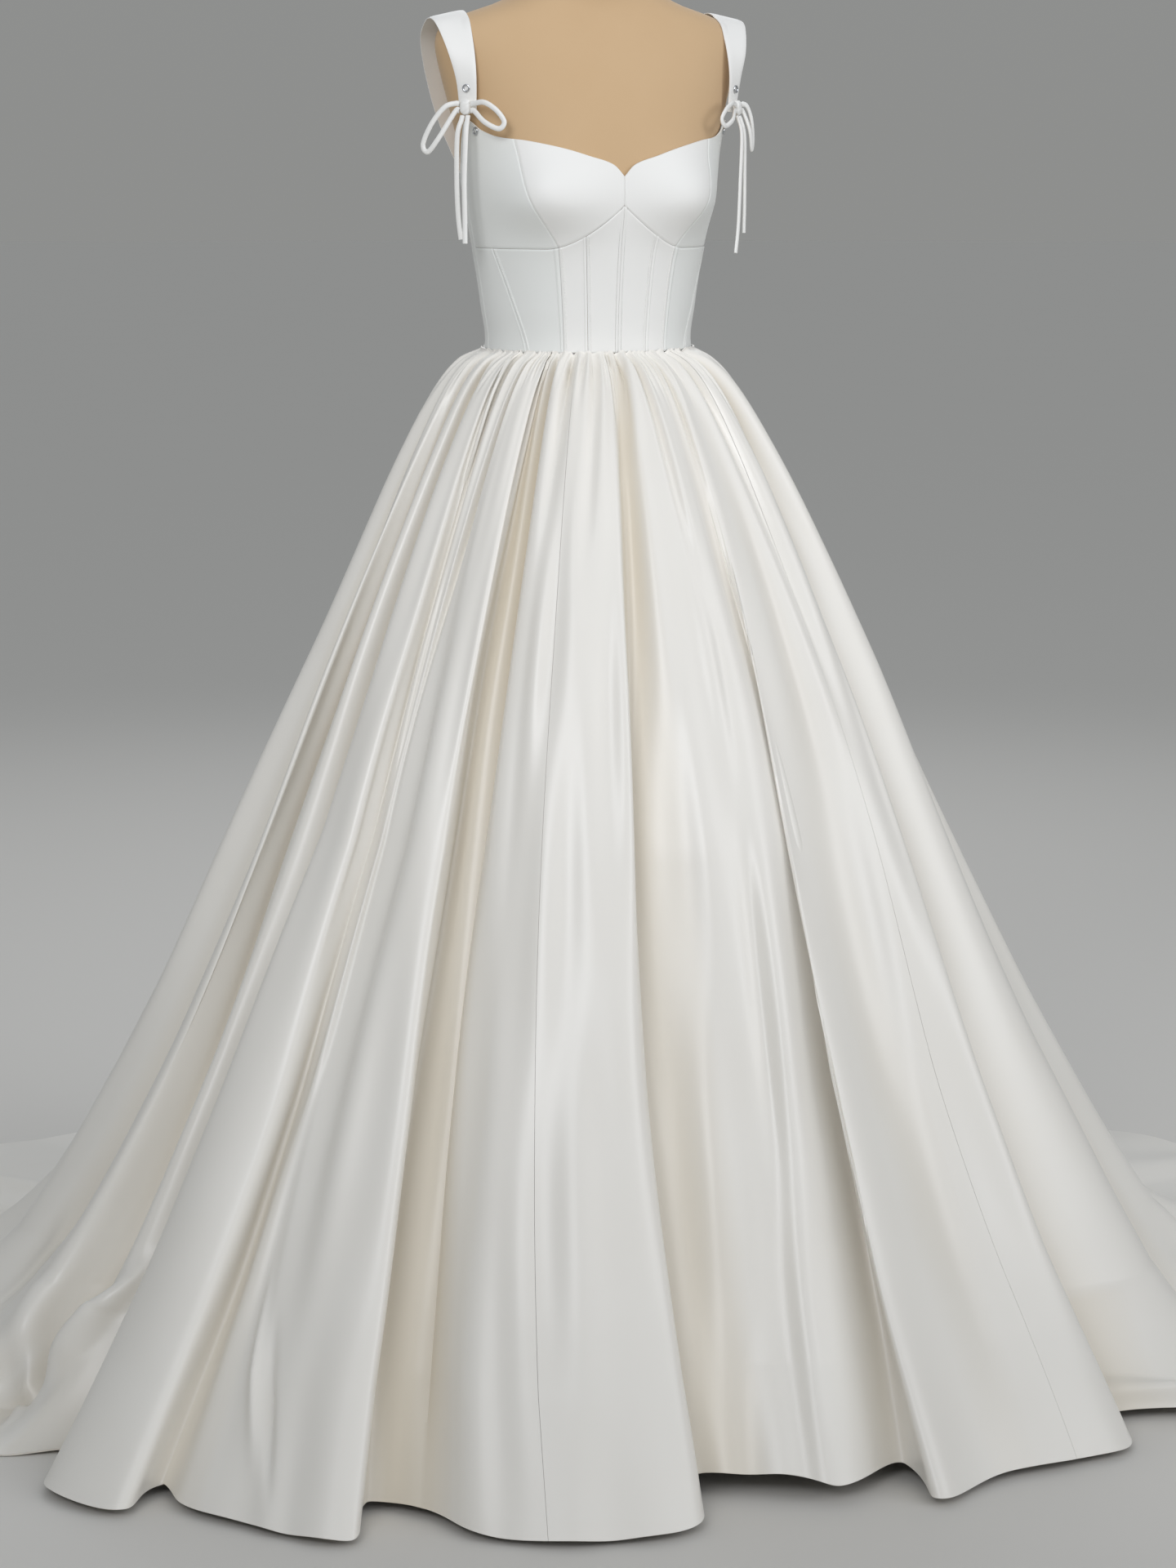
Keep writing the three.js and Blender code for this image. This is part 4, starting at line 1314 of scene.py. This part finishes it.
class GOWN_OT_stitches(bpy.types.Operator):
    """Sews the rows of stitches along the boning channels"""

    bl_idname = "gown.build_stitches"
    bl_label = "Stitches"

    def execute(self, context):
        sizes = context.scene.gown_sizes
        half = sizes.boning_width / MM / 2
        share = np.linspace(STITCH["from"], STITCH["to"], STITCH["points"])
        points, edges = [], []
        for _, sign in SIDES:
            for seam in BONED_SEAMS:
                high_edge, high = (top_edge, TOP) if seam == "side_back" else (underbust_edge, UNDER)
                for aside in (-half, half):
                    azimuth = SEAMS[seam][WAIST] + (SEAMS[seam][high] - SEAMS[seam][WAIST]) * share
                    z = WAIST_Z + (high_edge(azimuth) - WAIST_Z) * share
                    radius = figure_radius(azimuth, z)
                    azimuth = azimuth + np.degrees(aside / radius)
                    line = polar(sign * azimuth, radius + STITCH["above"], z) * MM
                    first = len(points)
                    points.extend(line)
                    edges.extend((first + i, first + i + 1) for i in range(len(line) - 1))
        mesh = bpy.data.meshes.new("sewing_lines")
        mesh.from_pydata([tuple(point) for point in points], edges, [])
        stitches = grow(
            "boning_stitches",
            mesh,
            stitch_tree(),
            {
                "Pitch": sizes.stitch_pitch,
                "Thread": sizes.stitch_width / 2,
                "Length": STITCH["share"] * sizes.stitch_pitch,
                "Cloth": satin_of(context.scene, "bodice"),
            },
        )
        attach(stitches, BODY)
        return {"FINISHED"}


# Skirt
def train_reach(azimuth):
    """How far the train's hem lies from the axis."""
    turn = np.radians(azimuth - TRAIN_AXIS)
    return 1 / np.hypot(np.sin(turn) / TRAIN_HALF_WIDTH, np.cos(turn) / TRAIN_HALF_DEPTH)


def swept_line(fold, turn=0):
    """A row of fold_lines for a fold that sweeps on to the floor, turned by some degrees."""
    azimuths = [fold[height] + turn for height in ("waist", "mid", "hem")]
    return (*azimuths, fold["out"], fold["foot"], SKIRT_CLOTH, fold["ridge"], True)


def fold_lines():
    """All fold lines round the skirt, as a table."""
    rows = [(*fold.values(), 0, False) for fold in rows_of(FRONT_FOLDS)]
    rows += [swept_line(fold) for fold in rows_of(LEFT_FOLDS)]
    for i in range(TRAIN["lines"]):
        share = i / (TRAIN["lines"] - 1)
        hem = TRAIN["from"] + (TRAIN["to"] - TRAIN["from"]) * share
        hem += TRAIN["sway"] * math.sin(TRAIN["sway_turn"] * i)
        turn = TRAIN["twist"] * (1 - share)
        crest = i % 2 == 0
        out = TRAIN["crest"] if crest else TRAIN["valley"]
        ridge = TRAIN["ridge"] if crest else 0
        rows.append((hem + turn, hem + turn / 2, hem, out, train_reach(hem), SKIRT_CLOTH, ridge, True))
    rows += [swept_line(fold, turn=360) for fold in rows_of(RIGHT_FOLDS)]
    return table("waist mid hem out foot lift ridge swept", *rows)


def fold_azimuth(folds, drop):
    """Azimuth of each fold line at a drop, on a smooth curve through its three heights."""
    share = drop / WAIST_Z
    mid = (WAIST_Z - MID_Z) / WAIST_Z
    at_waist = (share - mid) * (share - 1) / mid
    at_mid = share * (share - 1) / (mid * (mid - 1))
    at_hem = share * (share - mid) / (1 - mid)
    return folds["waist"] * at_waist + folds["mid"] * at_mid + folds["hem"] * at_hem


def hanging_points(folds, drop):
    """A point of each fold line at a drop below the waist."""
    mid_drop = WAIST_Z - MID_Z
    upper = min(max(drop / mid_drop, 0), 1)
    lower = min(max((drop - mid_drop) / MID_Z, 0), 1)
    azimuth = fold_azimuth(folds, drop)
    standing = np.where(folds["swept"] > 0, folds["out"] * SWEPT_DEEPENS, folds["foot"] - BELL_FLOOR_RADIUS)
    out = folds["out"] * upper ** FOLD_ONSET * (1 - lower) + standing * lower
    waist_fit = figure_radius(azimuth, WAIST_Z) + WAIST_EASE - BELL["radius"][0]
    radius = along(BELL, "drop", "radius", drop) + waist_fit * math.exp(-drop / WAIST_FADE) + out
    return polar(azimuth, radius, WAIST_Z - drop)


def sweep_points(folds, share):
    """A point of each fold line on its way from the knee to the hem."""
    knee = hanging_points(folds, WAIST_Z - KNEE_Z)
    hem = polar(folds["hem"], folds["foot"], folds["lift"])
    points = knee + (hem - knee) * share
    gone = np.linalg.norm(points - knee, axis=-1)
    bend = np.clip(1 - gone / FLOOR_BEND, 0, 1)
    ridge = folds["ridge"] * (1 - RIDGE_FALL * share) * (1 - bend ** 2)
    swept = folds["lift"] + KNEE_Z * bend ** 2 + ridge
    points[:, 2] = np.where(folds["swept"] > 0, swept, points[:, 2])
    return points


def skirt_drops():
    """Drops of the hanging rows, closer together in the gathers."""
    knee = WAIST_Z - KNEE_Z
    low = np.arange(SKIRT_ROWS_FROM, knee, SKIRT_ROW)
    return np.concatenate([[-PUFF["above"]], GATHER_DROPS, low, [knee]])


def fade_between(drop, top, low):
    """One between two drops, easing to nothing past either end."""
    edge = (low - top) / 2
    ease_in = np.clip((drop - top) / edge, 0, 1)
    ease_out = np.clip((low - drop) / edge, 0, 1)
    both = np.minimum(ease_in, ease_out)
    return both * both * (3 - 2 * both)


def from_line(line, middle, lines):
    """How far each column lies from a fold line, in folds, the shorter way round."""
    return (line - middle + lines / 2) % lines - lines / 2


def ruckings(line, drop, lines):
    """Relief of the puckers and tucks that run down from the waist, each a valley between two ridges."""
    chance = np.random.default_rng(RUCK_SEED)
    relief = np.zeros_like(line)
    for kind in rows_of(RUCKS):
        for i in range(int(kind["count"])):
            middle = (i + chance.uniform(*RUCK_PLACE)) * lines / kind["count"]
            depth = chance.uniform(kind["shallow"], kind["deep"])
            length = chance.uniform(kind["short"], kind["long"])
            width = chance.uniform(kind["narrow"], kind["wide"])
            slant = chance.uniform(-kind["slant"], kind["slant"])
            run = np.clip(1 - drop / length, 0, 1)
            away = from_line(line, middle + slant * (1 - run), lines) / width
            relief -= depth * (1 - 2 * away ** 2) * np.exp(-(away ** 2)) * run
    return relief


def valley_bite(folds, line, drop, depth):
    """Relief that pinches the cloth along the valleys, so that they lie narrow between wide folds."""
    lines = len(folds["out"])
    relief = np.zeros_like(line)
    open_valleys = (folds["out"] < PINCH["shallow"]) & (folds["out"] > PINCH["deep"])
    for i in np.flatnonzero(open_valleys):
        away = np.abs(from_line(line, i, lines)) / PINCH["width"]
        relief -= depth * np.exp(-away)
    ease_in = np.clip(drop / PINCH["ease_in"], 0, 1)
    ease_out = np.clip((WAIST_Z - drop) / KNEE_Z, PINCH["at_hem"], 1)
    return relief * (ease_in * ease_out)


def slack(line, drop, lines):
    """Relief of the broad soft waves in cloth that hangs free."""
    relief = np.zeros_like(line)
    for wave in rows_of(SLACK):
        turns = wave["round"] * line / lines + drop / wave["rise"] + wave["start"]
        relief += wave["depth"] * np.sin(2 * math.pi * turns)
    return relief * np.clip(drop / SLACK_EASE, 0, 1)


def creases(line, drop, lines):
    """Relief of the smaller creases."""
    relief = np.zeros_like(line)
    for row in rows_of(CREASES):
        share = np.clip((drop - row["top_drop"]) / (row["low_drop"] - row["top_drop"]), 0, 1)
        middle = row["top_line"] + (row["low_line"] - row["top_line"]) * share
        away = from_line(line, middle, lines)
        profile = np.exp(-((away / row["width"]) ** 2))
        relief += row["depth"] * profile * fade_between(drop, row["top_drop"], row["low_drop"])
    return relief


def ripples(line, drop, lines):
    """Relief of the soft ridges where the train spreads over the floor."""
    chance = np.random.default_rng(RIPPLES["seed"])
    first, last = RIPPLES["lines"]
    relief = np.zeros_like(line)
    for i in range(RIPPLES["count"]):
        middle = first + (i + chance.uniform(*RIPPLES["place"])) * (last - first) / RIPPLES["count"]
        ranges = [RIPPLES[key] for key in ("top_drop", "low_drop", "height", "width", "slant")]
        top, low, height, width, slant = (chance.uniform(*ends) for ends in ranges)
        share = np.clip((drop - top) / (low - top), 0, 1)
        away = from_line(line, middle + slant * share, lines) / width
        relief += height * np.exp(-(away ** 2)) * fade_between(drop, top, low)
    return relief


def skirt_surface(sizes):
    """The whole skirt as one ring grid, rows from the hem up."""
    folds = fold_lines()
    lines = len(folds["waist"])
    drops = skirt_drops()
    shares = np.linspace(0, 1, SWEEP_ROWS)[1:]
    rows = [hanging_points(folds, drop) for drop in drops]
    rows += [sweep_points(folds, share) for share in shares]
    smoothing = RING_SMOOTHING * COLUMNS_PER_FOLD
    grid = np.stack([smooth_ring(ring_through(row, COLUMNS_PER_FOLD), smoothing) for row in rows])
    fallen = np.concatenate([drops, WAIST_Z - KNEE_Z * (1 - shares)])[::-1, None]
    grid = grid[::-1]
    line = np.arange(lines * COLUMNS_PER_FOLD)[None, :] / COLUMNS_PER_FOLD
    line, fallen = np.broadcast_arrays(line, fallen)
    gathers = sizes.gather_strength * ruckings(line, fallen, lines)
    from_seam = np.clip(fallen / PUFF["ease_in"], PUFF["least"], 1)
    relief = gathers * from_seam + creases(line, fallen, lines) + slack(line, fallen, lines)
    relief += valley_bite(folds, line, fallen, sizes.valley_pinch / MM) + ripples(line, fallen, lines)
    grid = grid + grid_normals(grid, closed=True) * relief[..., None]
    grid[..., 2] += PUFF["uneven"] * gathers * (1 - from_seam)
    return grid


def fold_depths(grid):
    """How deep in a fold each point lies, from 0 on the crests to 1 in the valleys, the mask of painted
    shade.
    """
    radius = np.hypot(grid[..., 0], grid[..., 1])
    even = np.stack([smooth_ring(row[:, None], CREST_EVEN * COLUMNS_PER_FOLD)[:, 0] for row in radius])
    depth = np.zeros_like(radius)
    for reach in CREST_REACH:
        away = round(reach * COLUMNS_PER_FOLD)
        crests = np.minimum(np.roll(even, away, axis=1), np.roll(even, -away, axis=1))
        depth = np.maximum(depth, crests - radius)
    deep = along(DEEP_FOLD, "drop", "depth", WAIST_Z - grid[..., 2])
    return np.clip(depth / deep, 0, 1)


def gore_grids(grid, first, last):
    """Outer and inner grids of a gore, with half the gap of its seams, and its columns of the skirt."""
    columns = grid.shape[1]
    normals = grid_normals(grid, closed=True)
    span = (np.arange((last - first) * COLUMNS_PER_FOLD + 1) + first * COLUMNS_PER_FOLD) % columns
    outer, normal = grid[:, span].copy(), normals[:, span].copy()
    aside = unit(np.gradient(outer, axis=1))
    outer[:, 0] += aside[:, 0] * SEAM_GAP / 2
    outer[:, -1] -= aside[:, -1] * SEAM_GAP / 2
    inner = outer - normal * SKIRT_CLOTH
    outer[..., 2] = np.maximum(outer[..., 2], SKIRT_CLOTH)
    inner[..., 2] = np.maximum(inner[..., 2], 0)
    return outer, inner, span


class GOWN_OT_skirt(bpy.types.Operator):
    """Makes the gathered skirt and its train, gore by gore"""

    bl_idname = "gown.build_skirt"
    bl_label = "Skirt and train"

    def execute(self, context):
        satin = satin_of(context.scene, "skirt")
        grid = skirt_surface(context.scene.gown_sizes)
        # The mask of the painted shade deep in the skirt's folds
        depths = fold_depths(grid)
        for node, first, last in GORES:
            outer, inner, span = gore_grids(grid, first, last)
            piece = shell(f"cloth_{node}", outer, inner, satin, depths[:, span])
            place(piece, "skirt_satin", node)
        return {"FINISHED"}


# Stage
FLOOR = {"radius": 40, "sides": 96, "z": -0.0005}
SENSOR_MM = 36
# Lights: name, azimuth, distance from the axis, height, size, spread, the height that they face and the
# setting that holds their power
LIGHTS = (
    ("key_light", -35, 3.7, 2.9, 1.8, 56, 1.3, "key_power"),
    ("fill_light", 48, 4.2, 2.6, 2.4, 58, 1.4, "fill_power"),
    ("rim_light", 160, 4.0, 3.4, 2.4, 120, 0.6, "rim_power"),
)
DAYLIGHT = {"azimuth": 16, "from_above": 56, "spread": 50}
COOL_LIGHT = (0.975, 0.99, 1.035)


def soft_light(name, azimuth, distance, height, size, spread, target, power):
    """A large square light that faces a height on the gown's axis."""
    light = bpy.data.lights.new(name, "AREA")
    light.shape = "SQUARE"
    light.size = size
    light.spread = math.radians(spread)
    light.energy = power
    light.color = COOL_LIGHT
    lamp = bpy.data.objects.new(name, light)
    lamp.location = Vector(polar(azimuth, distance, height))
    lamp.rotation_euler = (Vector((0, 0, target)) - lamp.location).to_track_quat("-Z", "Y").to_euler()
    bpy.context.scene.collection.objects.link(lamp)


def wide_daylight(strength):
    """A very soft sun, so that the floor is as pale far off as it is near."""
    light = bpy.data.lights.new("daylight", "SUN")
    light.energy = strength
    light.angle = math.radians(DAYLIGHT["spread"])
    light.color = COOL_LIGHT
    lamp = bpy.data.objects.new("daylight", light)
    lamp.rotation_euler = (math.radians(DAYLIGHT["from_above"]), 0, math.radians(DAYLIGHT["azimuth"]))
    bpy.context.scene.collection.objects.link(lamp)


class GOWN_OT_stage(bpy.types.Operator):
    """Lays the pale floor, hangs the soft lights and sets the camera"""

    bl_idname = "gown.build_stage"
    bl_label = "Stage"

    def execute(self, context):
        scene = context.scene
        stage = scene.gown_stage
        colours = scene.gown_colours
        mesh = bpy.data.meshes.new("studio_floor")
        work = bmesh.new()
        below = Matrix.Translation((0, 0, FLOOR["z"]))
        bmesh.ops.create_circle(
            work, cap_ends=True, segments=FLOOR["sides"], radius=FLOOR["radius"], matrix=below
        )
        work.to_mesh(mesh)
        work.free()
        floor = new_object("studio_floor", mesh, studio_floor("pale_screed", colours.floor))
        scene.world = bpy.data.worlds.new("pale_surround")
        scene.world.use_nodes = True
        self.light_sky(scene.world.node_tree, stage, colours)
        for *settings, power in LIGHTS:
            soft_light(*settings, getattr(stage, power))
        wide_daylight(stage.daylight)
        self.set_camera(scene, stage)
        scene.view_settings.view_transform = "Standard"
        return {"FINISHED"}

    def light_sky(self, tree, stage, colours):
        """Grades the sky from the floor's own tone at the horizon to full strength overhead."""
        height = add_node(
            tree,
            "ShaderNodeSeparateXYZ",
            {"Vector": add_node(tree, "ShaderNodeTexCoord").outputs["Generated"]},
        )
        strength = add_node(
            tree,
            "ShaderNodeMapRange",
            {"Value": height.outputs["Z"], "To Min": stage.horizon, "To Max": stage.surround},
        )
        tone = add_node(
            tree,
            "ShaderNodeMix",
            {"Factor": height.outputs["Z"], "A": colours.backdrop, "B": colours.sky},
            data_type="RGBA",
        )
        surround = tree.nodes["Background"]
        tree.links.new(tone.outputs["Result"], surround.inputs["Color"])
        tree.links.new(strength.outputs["Result"], surround.inputs["Strength"])

    def set_camera(self, scene, stage):
        """Stands the camera where the gown is seen from."""
        camera = bpy.data.objects.new("camera", bpy.data.cameras.new("camera"))
        camera.data.lens = stage.lens
        camera.data.sensor_width = SENSOR_MM
        turn = stage.camera_azimuth
        camera.location = (
            math.sin(turn) * stage.camera_distance,
            -math.cos(turn) * stage.camera_distance,
            stage.camera_height,
        )
        camera.rotation_euler = (math.radians(90) - stage.camera_pitch, 0, turn)
        scene.collection.objects.link(camera)
        scene.camera = camera


OPERATORS = (
    GOWN_OT_form,
    GOWN_OT_bodice,
    GOWN_OT_straps,
    GOWN_OT_ties,
    GOWN_OT_eyelets,
    GOWN_OT_stitches,
    GOWN_OT_skirt,
    GOWN_OT_stage,
)


class GOWN_PT_panel(bpy.types.Panel):
    """Lists the steps that build the gown"""

    bl_idname = "GOWN_PT_panel"
    bl_label = "Satin ball gown"
    bl_space_type = "VIEW_3D"
    bl_region_type = "UI"
    bl_category = "Gown"

    def draw(self, context):
        for settings in (context.scene.gown_sizes, context.scene.gown_colours, context.scene.gown_stage):
            box = self.layout.box()
            for name in settings.__annotations__:
                box.prop(settings, name)
        for operator in OPERATORS:
            self.layout.operator(operator.bl_idname)


CLASSES = (GownSizes, GownColours, GownStage, *OPERATORS, GOWN_PT_panel)


def register():
    """Registers the classes and hangs their settings on the scene."""
    for item in CLASSES:
        bpy.utils.register_class(item)
    bpy.types.Scene.gown_sizes = bpy.props.PointerProperty(type=GownSizes)
    bpy.types.Scene.gown_colours = bpy.props.PointerProperty(type=GownColours)
    bpy.types.Scene.gown_stage = bpy.props.PointerProperty(type=GownStage)


def unregister():
    """Takes the settings and the classes away again."""
    del bpy.types.Scene.gown_stage
    del bpy.types.Scene.gown_colours
    del bpy.types.Scene.gown_sizes
    for item in reversed(CLASSES):
        bpy.utils.unregister_class(item)


def main():
    """Builds the gown step by step."""
    register()
    bpy.ops.gown.build_form()
    bpy.ops.gown.build_bodice()
    bpy.ops.gown.build_straps()
    bpy.ops.gown.build_ties()
    bpy.ops.gown.build_eyelets()
    bpy.ops.gown.build_stitches()
    bpy.ops.gown.build_skirt()
    bpy.ops.gown.build_stage()


if __name__ == "__main__":
    main()
